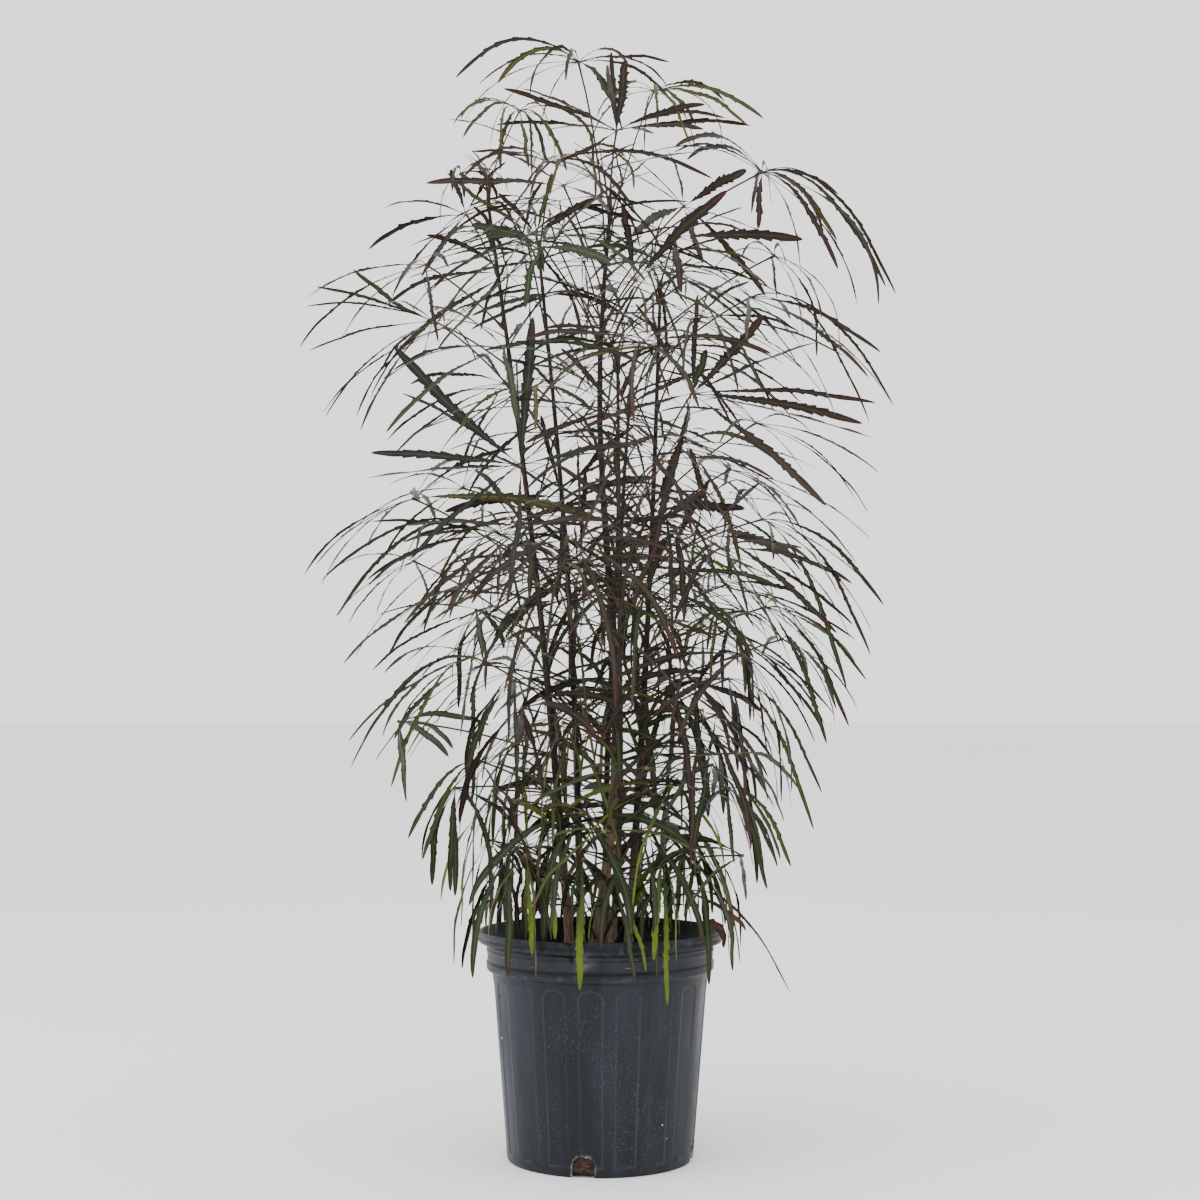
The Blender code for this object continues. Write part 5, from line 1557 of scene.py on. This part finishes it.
@dataclass
class NurseryPot:
    """The moulded nursery pot, with round-headed panels, a bead, a double lip and four drain notches."""

    columns: int = 540
    panels: int = 18
    panel_start: float = -5.0  # degrees from the front towards +X
    panel_half: float = 6.3
    panel_depth: float = 0.0009
    panel_low: float = 0.0108
    panel_spring: float = 0.1880  # where a panel's round head begins
    panel_head: float = 0.0092
    notches: int = 4
    notch_start: float = -10.0
    notch_radius: float = 0.012
    notch_crown: float = 0.011
    dent_angle: float = -13.5  # where the lip is pinched into a crease
    dent_depth: float = 0.0040
    dent_drop: float = 0.0016
    dent_reach: tuple[float, float] = (6.0, 0.8)  # degrees to its left and its right
    rim_rise: float = 0.0025  # how much higher the warped rim stands at the front
    collar: float = 0.204  # where the wall ends and the collar begins
    # heights, and radii between the wall's outer side and its inner one
    core: tuple[tuple[float, ...], ...] = ((0.0, 0.204, 0.248), (0.0992, 0.1164, 0.1200))
    # heights, and radii that only the inner side is within
    cavity: tuple[tuple[float, ...], ...] = (
        (0.0, 0.204, 0.229, 0.240, 0.2475, 0.26), (0.0975, 0.1165, 0.1215, 0.1262, 0.1304, 0.1304),
    )
    # the heights, half widths and depths of tone of the painted shade in the dark grooves round the collar
    grooves: tuple[tuple[float, float, float], ...] = (
        (0.2118, 0.0007, 0.55), (0.2146, 0.0013, 0.95), (0.2170, 0.0008, 0.60), (0.2298, 0.0009, 0.50),
        (0.2344, 0.0011, 0.90), (0.2412, 0.0008, 0.75),
    )
    # the outline's radii and heights in tenths of a millimetre: the wall, then the collar, lip and inside
    wall: tuple[tuple[int, int], ...] = (
        (985, 0), (1006, 10), (1014, 30), (1020, 80), (1154, 1805), (1178, 2035),
    )
    brim: tuple[tuple[int, int], ...] = (
        (1184, 2043), (1206, 2052), (1228, 2064), (1237, 2076), (1241, 2092), (1240, 2106), (1236, 2114),
        (1236, 2122), (1241, 2132), (1242, 2146), (1238, 2156), (1229, 2162), (1226, 2170), (1229, 2180),
        (1232, 2230), (1234, 2262), (1240, 2272), (1242, 2282), (1238, 2290), (1237, 2312), (1243, 2322),
        (1246, 2334), (1243, 2342), (1250, 2350), (1280, 2356), (1308, 2361), (1323, 2368), (1329, 2379),
        (1330, 2394), (1327, 2404), (1321, 2409), (1320, 2416), (1326, 2423), (1331, 2434), (1333, 2450),
        (1331, 2465), (1325, 2476), (1316, 2480), (1306, 2478), (1298, 2470), (1289, 2452), (1272, 2424),
        (1246, 2370), (1215, 2325), (1206, 2290), (1194, 2225), (1155, 2040), (1100, 1400), (985, 32),
        (600, 31), (100, 30),
    )

    def rows(self) -> list[tuple[float, float]]:
        """Each ring's radius and height, closest where the panels' round heads are."""
        radii, heights = np.array(self.wall).T / 10_000
        levels = [0.0, 0.0010, 0.0030, 0.0080, 0.0100, 0.0104, 0.0108, 0.0112, 0.0116]
        levels += [*np.arange(0.0150, 0.1845, 0.0034), *np.arange(0.1855, 0.2000, 0.0008)]
        levels += [0.2012, 0.2024, 0.2035]
        rows = [(float(np.interp(level, heights, radii)), float(level)) for level in levels]
        return rows + [(radius / 10_000, height / 10_000) for radius, height in self.brim]

    @staticmethod
    def round_the_pot(pot: Piece) -> tuple[Array, Array, Array]:
        """Each point's angle from the front in degrees, its distance from the axis and its height."""
        x, y, heights = Bench.points_of(pot).T
        return np.degrees(np.arctan2(x, -y)), np.hypot(x, y), heights

    def panel_edge(self, angles: Array, radii: Array, heights: Array) -> Array:
        """How far inside its panel's outline each point is, in metres."""
        aside = np.abs(off(angles, self.panel_start, 360 / self.panels))
        side = np.radians(self.panel_half - aside) * radii
        rise = np.maximum(heights - self.panel_spring, 0.0) / self.panel_head
        head = (1.0 - np.hypot(aside / self.panel_half, rise)) * 0.0105
        return np.minimum(np.where(heights > self.panel_spring, head, side), heights - self.panel_low)

    def drain_cutters(self) -> bpy.types.Collection:
        """Upright round-headed cutters, one through the wall at each notch."""
        held = bpy.data.collections.new("drain_cutters")
        bpy.context.scene.collection.children.link(held)
        for notch in range(self.notches):
            angle = math.radians(self.notch_start + 360 / self.notches * notch)
            out = Vector((math.sin(angle), -math.cos(angle), 0.0))
            Bench.clear_selection()
            bpy.ops.mesh.primitive_cylinder_add(
                vertices=40, radius=self.notch_radius, depth=0.030, location=out * 0.0985,
                rotation=(math.pi / 2, 0.0, angle),
            )
            cutter = bpy.context.object
            Bench.settle(cutter)
            points = Bench.points_of(cutter)
            around = np.arctan2(points[:, 2], points @ np.array([math.cos(angle), math.sin(angle), 0.0]))
            ragged = 1.0 + 0.09 * np.sin(3 * around + 2 * notch + 0.6) + 0.05 * np.sin(8 * around + notch)
            points[:, 2] *= ragged
            points[:, 2] = np.where(points[:, 2] < 0, points[:, 2] * 1.6, points[:, 2] + self.notch_crown)
            Bench.move_points(cutter, points)
            for owner in list(cutter.users_collection):
                owner.objects.unlink(cutter)
            held.objects.link(cutter)
        return held

    def build(self) -> None:
        """The finished pot."""
        pot = Bench.turned_form("nursery_pot", self.rows(), self.columns)
        self.shape_wall(pot)
        cutters = self.drain_cutters()
        cut = pot.modifiers.new("Drain notches", "BOOLEAN")
        cut.operation, cut.operand_type, cut.collection = "DIFFERENCE", "COLLECTION", cutters
        cut.solver = "EXACT"
        Bench.apply(pot)
        for cutter in list(cutters.objects):
            bpy.data.objects.remove(cutter)
        bpy.data.collections.remove(cutters)
        self.mark_wear_and_painted_light(pot)
        Bench.smooth(pot, 32.0)
        pot.data.materials.clear()
        pot.data.materials.append(PotPlastic().mix())
        fit(pot, "pot_plastic", "pot")

    def shape_wall(self, pot: Piece) -> None:
        """Presses in the panels, pinches the lip, and bends the wall and the rim a little out of true."""
        points = Bench.points_of(pot)
        angles, radii, heights = self.round_the_pot(pot)
        outside = (radii > np.interp(heights, *self.core)) & (heights < self.collar)
        inset = np.clip(self.panel_edge(angles, radii, heights) / 0.0009 + 0.5, 0.0, 1.0)
        inset = inset * inset * (3 - 2 * inset) * self.panel_depth * outside
        aside = off(angles, self.dent_angle)
        pinch = np.exp(-np.abs(aside) / np.where(aside < 0, *self.dent_reach))
        pinch = pinch * np.clip((heights - 0.226) / 0.012, 0, 1)
        bent = 0.00035 * np.sin(np.radians(2 * angles + 40)) + 0.0002 * np.sin(np.radians(5 * angles))
        bent = bent * np.clip(heights / POT_HEIGHT, 0, 1) * (radii > 0.05)
        grown = radii - inset - self.dent_depth * pinch + bent
        points[:, :2] *= (grown / np.maximum(radii, 1e-9))[:, None]
        warp = np.maximum(0.0, np.cos(np.radians(angles))) * np.clip((heights - 0.233) / 0.012, 0, 1)
        points[:, 2] += self.rim_rise * warp - self.dent_drop * pinch
        Bench.move_points(pot, points)

    def mark_wear_and_painted_light(self, pot: Piece) -> None:
        """Marks the points at the panels' edges, where painted highlight and painted shade go, in the grooves
        and the crease, where painted shade goes, at scuffs, inside the pot, where painted shade goes, and round
        the torn notches.
        """
        points = Bench.points_of(pot)
        angles, radii, heights = self.round_the_pot(pot)
        outside = radii > np.interp(heights, *self.core)
        inside = self.panel_edge(angles, radii, heights)
        # the panels' edges: a painted highlight, stronger on the side that faces the light, and painted shade
        # on the other side
        lit = np.exp(-((inside / 0.0008) ** 2)) * outside * (heights < 0.2)
        towards = np.sin(np.radians(angles)) * np.sign(off(angles, self.panel_start, 360 / self.panels))
        edge = lit * np.where(heights > self.panel_spring, 0.8, np.clip(0.55 + 0.6 * towards, 0.15, 1))
        mark(pot.data, "edge", edge)
        # painted shade in the grooves round the collar
        painted_shade_mask = sum(tone * np.exp(-(((heights - at) / wide) ** 2)) for at, wide, tone in self.grooves)
        # painted shadow of the fold where the lip is pinched into a crease
        fold = np.exp(-((off(angles, self.dent_angle) / 0.9) ** 2))
        painted_shade_mask += fold * np.clip((heights - SOIL_TOP) / 0.006, 0, 1)
        # below the collar, painted shade on the side of the panels' edges that faces away from the light
        painted_shade_mask = np.where(heights > self.collar, painted_shade_mask, lit * np.clip(-0.15 - 1.1 * towards, 0, 1))
        mark(pot.data, "groove", np.clip(painted_shade_mask, 0, 1) * outside)
        aside = off(angles, self.dent_angle + 5.0)
        cloud = 0.5 + 0.5 * soft_noise(points, 0.009, 4.0)
        patch = np.exp(-((aside / 4.2) ** 2) - ((heights - 0.2285) / 0.0085) ** 2)
        patch = patch * np.clip(cloud * 2.2 - 0.4, 0, 1)
        crest = np.clip(1 - np.abs(heights - 0.2405) / 0.009, 0, 1) * np.clip(cloud * 3.4 - 2.1, 0, 1)
        bead = np.clip(1 - np.abs(heights - 0.2110) / 0.0045, 0, 1) * np.clip(cloud * 3.4 - 1.9, 0, 1)
        bead *= 0.5 - 0.5 * np.sin(np.radians(angles))
        mark(pot.data, "scuff", np.clip(0.95 * patch + 0.45 * crest + 0.6 * bead, 0, 1) * outside)
        # the pot's inside, where painted shade is laid
        mark(pot.data, "within", radii < np.interp(heights, *self.cavity))
        around = np.radians(off(angles, self.notch_start, 360 / self.notches)) * radii
        above = heights - self.notch_crown
        away = np.where(above > 0, np.hypot(around, above), np.abs(around)) - self.notch_radius
        torn = np.exp(-((away / 0.0013) ** 2)) * np.clip(0.35 + 1.2 * soft_noise(points, 0.0045, 9.0), 0, 1)
        mark(pot.data, "torn", torn * (heights < 0.03) * (radii > 0.09))


# ---------------------- potting mix
@dataclass
class PottingMix:
    """The filling of the pot, with the loose bits on top and the roots in the drain notches."""

    columns: int = 220
    chips: int = 1500
    grains: int = 260
    fibres: int = 220
    roots: int = 44
    # the radii and heights of its side, from the floor of the pot up
    side: tuple[tuple[float, float], ...] = (
        (0.0979, 0.0036), (0.0984, 0.0060), (0.1060, 0.1000), (0.1148, 0.2000), (0.1164, 0.2120),
        (0.1171, 0.2178),
    )
    # where along a lump its rings are, and their girths
    lump_rings: tuple[tuple[float, float], ...] = ((-0.5, 0.45), (-0.18, 1.0), (0.2, 0.92), (0.5, 0.40))

    @staticmethod
    def surface(x: Array, y: Array) -> Array:
        """The height of the mix's top at each place."""
        sunk = np.interp(np.hypot(x, y), [0.0, 0.060, 0.1165, 0.12], [0.0, 0.0, -0.0040, -0.0042])
        places = np.stack([x, y, np.zeros_like(x)], axis=1)
        mounds, crumbs = soft_noise(places, 0.016, 2.0), soft_noise(places, 0.0045, 7.0)
        return SOIL_TOP + sunk + 0.0016 * mounds + 0.0009 * crumbs

    def build(self) -> None:
        """The filling and its loose bits."""
        rings = [(float(radius), SOIL_TOP - 0.002) for radius in np.arange(0.1155, 0.0015, -0.0021)]
        body = Bench.turned_form("potting_mix_body", [*self.side, *rings], self.columns)
        points = Bench.points_of(body)
        top = points[:, 2] > 0.2170
        points[top, 2] = self.surface(points[top, 0], points[top, 1])
        Bench.move_points(body, points)
        Bench.smooth(body, 80.0)
        body.data.materials.append(Compost().mix())
        loose = self.loose_bits()
        fit(body, "potting_mix", "potting_mix")
        for piece in loose:
            fit(piece, "potting_mix")

    def scattered(self, source: random.Random, count: int, widest: float) -> list[Array]:
        """Places on top of the mix, spread evenly."""
        found = []
        for _ in range(count):
            out, turn = widest * math.sqrt(source.random()), source.uniform(0, 2 * math.pi)
            found.append((out * math.cos(turn), out * math.sin(turn)))
        x, y = np.array(found).T
        return list(np.stack([x, y, self.surface(x, y)], axis=1))

    def lump(self, place: Array, size: tuple[float, float, float], sides: int, source: random.Random) -> Skin:
        """One uneven lump of that size, turned at random."""
        way = unit(np.array([source.uniform(-1, 1), source.uniform(-1, 1), source.uniform(-0.35, 0.35)]))
        side = unit(np.cross(way, (0.0, 0.0, 1.0)))
        up = np.cross(side, way)
        rings = []
        for share, girth in self.lump_rings:
            for corner in range(sides):
                turn = 2 * math.pi * corner / sides
                reach = girth * source.uniform(0.72, 1.15)
                onward = way * size[0] * (share + source.uniform(-0.05, 0.05))
                sideways = side * size[1] * 0.5 * reach * math.cos(turn)
                rings.append(place + onward + sideways + up * size[2] * 0.5 * reach * math.sin(turn))
        points = np.array(rings).reshape(-1, sides, 3)
        return Skin(points, source.random(), creases=tuple(range(sides)))

    def fibre(self, source: random.Random, place: Array) -> Skin:
        """A root fibre that lies on the mix."""
        length = source.uniform(0.010, 0.034)
        heading, curl = source.uniform(0, 360), source.uniform(-160, 160)
        line = bending_line(place, heading, 12, length, 24, curl, 8)
        line[:, 2] = np.maximum(line[:, 2], self.surface(line[:, 0], line[:, 1]) + 0.0003)
        return tube_skin(line, np.linspace(0.0004, 0.00018, len(line)), 4, source.random())

    @staticmethod
    def root(source: random.Random, number: int) -> Skin:
        """A root that shows in a drain notch."""
        angle = math.radians(-10 + 90 * (number % 4) + source.uniform(-5.2, 5.2))
        start = np.array([0.0975 * math.sin(angle), -0.0975 * math.cos(angle), source.uniform(0.006, 0.018)])
        heading = math.degrees(angle) - 90 + source.choice((-80, 80))
        line = bending_line(start, heading, 10, source.uniform(0.006, 0.014), 60, source.uniform(-50, 50), 7)
        line[:, 2] = np.maximum(line[:, 2], 0.0042)
        out = np.hypot(line[:, 0], line[:, 1])
        line[:, :2] *= (np.clip(out, 0.0972, 0.0992) / out)[:, None]
        return tube_skin(line, np.linspace(0.0008, 0.0004, len(line)), 5, source.random())

    def loose_bits(self) -> list[Piece]:
        """Bark chips, white grains, root fibres, and the roots that show in the drain notches."""
        source = random.Random(f"{SEED} loose")
        chips, grains, fibres = Sheaf(), Sheaf(), Sheaf()
        for place in self.scattered(source, self.chips, 0.114):
            long = source.uniform(0.0018, 0.0075)
            size = (long, long * source.uniform(0.35, 0.75), long * source.uniform(0.18, 0.45))
            chips.skins.append(self.lump(place + np.array([0.0, 0.0, size[2] * 0.2]), size, 5, source))
        for place in self.scattered(source, self.grains, 0.113):
            wide = source.uniform(0.0011, 0.0034)
            size = (wide, wide, wide * 0.9)
            grains.skins.append(self.lump(place + np.array([0, 0, wide * 0.25]), size, 6, source))
        fibres.skins += [self.fibre(source, place) for place in self.scattered(source, self.fibres, 0.110)]
        fibres.skins += [self.root(source, number) for number in range(self.roots)]
        return [
            chips.build("bark_chips", Crumb("bark_chip", (0.016, 0.009, 0.006), (0.115, 0.066, 0.037)).mix()),
            grains.build("white_grains", Crumb("white_grain", (0.30, 0.29, 0.27), (0.68, 0.67, 0.64)).mix()),
            fibres.build("root_fibres", Crumb("root_fibre", (0.050, 0.030, 0.018), (0.19, 0.13, 0.080)).mix()),
        ]


# ---------------------- dried leaflets
@dataclass
class DriedLeaflets:
    """The few dead leaflets that curl on and over the rim."""

    smoothings: int = 6
    # each one's width in tenths of a millimetre, and the points that it curls by in millimetres
    curls: tuple[tuple[int, tuple[tuple[int, int, int], ...]], ...] = (
        (75, ((86, -30, 300), (112, -40, 284), (136, -46, 272), (150, -47, 262), (156, -44, 252))),
        (50, (
            (92, -10, 292), (120, -18, 292), (148, -24, 276), (176, -26, 240), (196, -24, 202), (206, -22, 182),
        )),
        (110, ((100, -50, 262), (118, -58, 262), (130, -64, 256), (134, -70, 246), (131, -76, 238))),
        (50, ((-92, -30, 282), (-112, -34, 286), (-128, -36, 278), (-136, -36, 264), (-134, -34, 255))),
        (90, ((20, 94, 262), (36, 116, 266), (50, 130, 256), (56, 138, 242))),
        (80, ((-60, 80, 256), (-82, 100, 262), (-94, 112, 254), (-98, 120, 244))),
    )

    def build(self) -> None:
        """The joined piece."""
        sheaf = Sheaf()
        for number, (width, marks) in enumerate(self.curls):
            source = random.Random(f"{SEED} dried {number}")
            spaced = np.linspace(0, len(marks) - 1, FINE_STEPS + 1)
            line = read_at(spaced, np.arange(len(marks)), np.array(marks) / 1000)
            for _ in range(self.smoothings):
                line[1:-1] = (line[:-2] + 2 * line[1:-1] + line[2:]) / 4
            across = Growth.carried(line, np.cross((0.0, 0.0, 1.0), line[1] - line[0]), source.uniform(60, 130))
            leaflet = Leaflet(line, width / 10_000, across)
            sheaf.skins.append(CURLED.skin(leaflet, 1.0, source.uniform(0.2, 0.8), source))
        fit(sheaf.build("dried_leaflets", Tint.DRY.value.mix()), "foliage")


# ---------------------- studio
@dataclass
class Studio:
    """A plain pale floor, soft lamps and the camera."""

    camera_place: Point = (0.0, -2.35, 0.53)
    lens: float = 64.65
    rise: float = 0.0592  # the lens's upward shift, as a share of the picture's width
    sky: float = 1.75
    lit: Point = (0.0, 0.0, 0.6)  # where the lamps point
    lamps: tuple[tuple[str, Point, float, float], ...] = (
        ("overhead_lamp", (-0.6, -1.2, 3.2), 2.6, 45.0),
        ("left_lamp", (-2.8, -1.2, 1.2), 2.0, 26.0),
        ("right_lamp", (2.8, -1.0, 1.1), 2.0, 22.0),
    )

    def build(self) -> None:
        """Sets the floor, the lamps, the sky and the camera."""
        Bench.clear_selection()
        bpy.ops.mesh.primitive_plane_add(size=40.0, location=(0, 0, 0))
        floor = Bench.name(bpy.context.object, "studio_floor")
        mix = Recipe("studio_floor", 0.9, 0.1, (0.86, 0.86, 0.86))
        mix.lay(mix.band(mix.noise(0.6, 2.0), 0.2, 0.8), (0.90, 0.90, 0.90))
        floor.data.materials.append(mix.finish())
        floor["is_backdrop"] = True
        world = bpy.data.worlds.new("studio_sky")
        bpy.context.scene.world = world
        world.use_nodes = True
        backdrop = world.node_tree.nodes["Background"]
        backdrop.inputs["Color"].default_value = (1.0, 1.0, 1.0, 1.0)
        backdrop.inputs["Strength"].default_value = self.sky
        for name, place, size, power in self.lamps:
            light = bpy.data.lights.new(name, "AREA")
            light.energy, light.size = power, size
            lamp = bpy.data.objects.new(name, light)
            lamp.location = place
            lamp.rotation_euler = (Vector(self.lit) - Vector(place)).to_track_quat("-Z", "Y").to_euler()
            bpy.context.scene.collection.objects.link(lamp)
        lens = bpy.data.cameras.new("studio_camera")
        lens.lens, lens.sensor_width, lens.sensor_fit, lens.shift_y = self.lens, 36.0, "HORIZONTAL", self.rise
        camera = bpy.data.objects.new("studio_camera", lens)
        camera.location, camera.rotation_euler = self.camera_place, (math.pi / 2, 0.0, 0.0)
        bpy.context.scene.collection.objects.link(camera)
        bpy.context.scene.camera = camera


# ---------------------- assembly
def main() -> None:
    """Loads the solids and builds every piece in order."""
    logging.basicConfig(level=logging.INFO, format="%(name)s: %(message)s", stream=sys.stdout)
    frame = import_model()
    solid_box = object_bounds()
    Studio().build()
    NurseryPot().build()
    PottingMix().build()
    Limbs().build()
    foliage = Foliage(set(frame["nodes"]) - {stem.name for stem in STEMS})
    foliage.build(foliage.grow())
    DriedLeaflets().build()
    dressed_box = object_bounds()
    boxes = {"cad": [list(corner) for corner in solid_box], "visual": [list(corner) for corner in dressed_box]}
    LOG.info("solids from %s to %s", *boxes["cad"])
    LOG.info("dressed from %s to %s", *boxes["visual"])


if __name__ == "__main__":
    main()
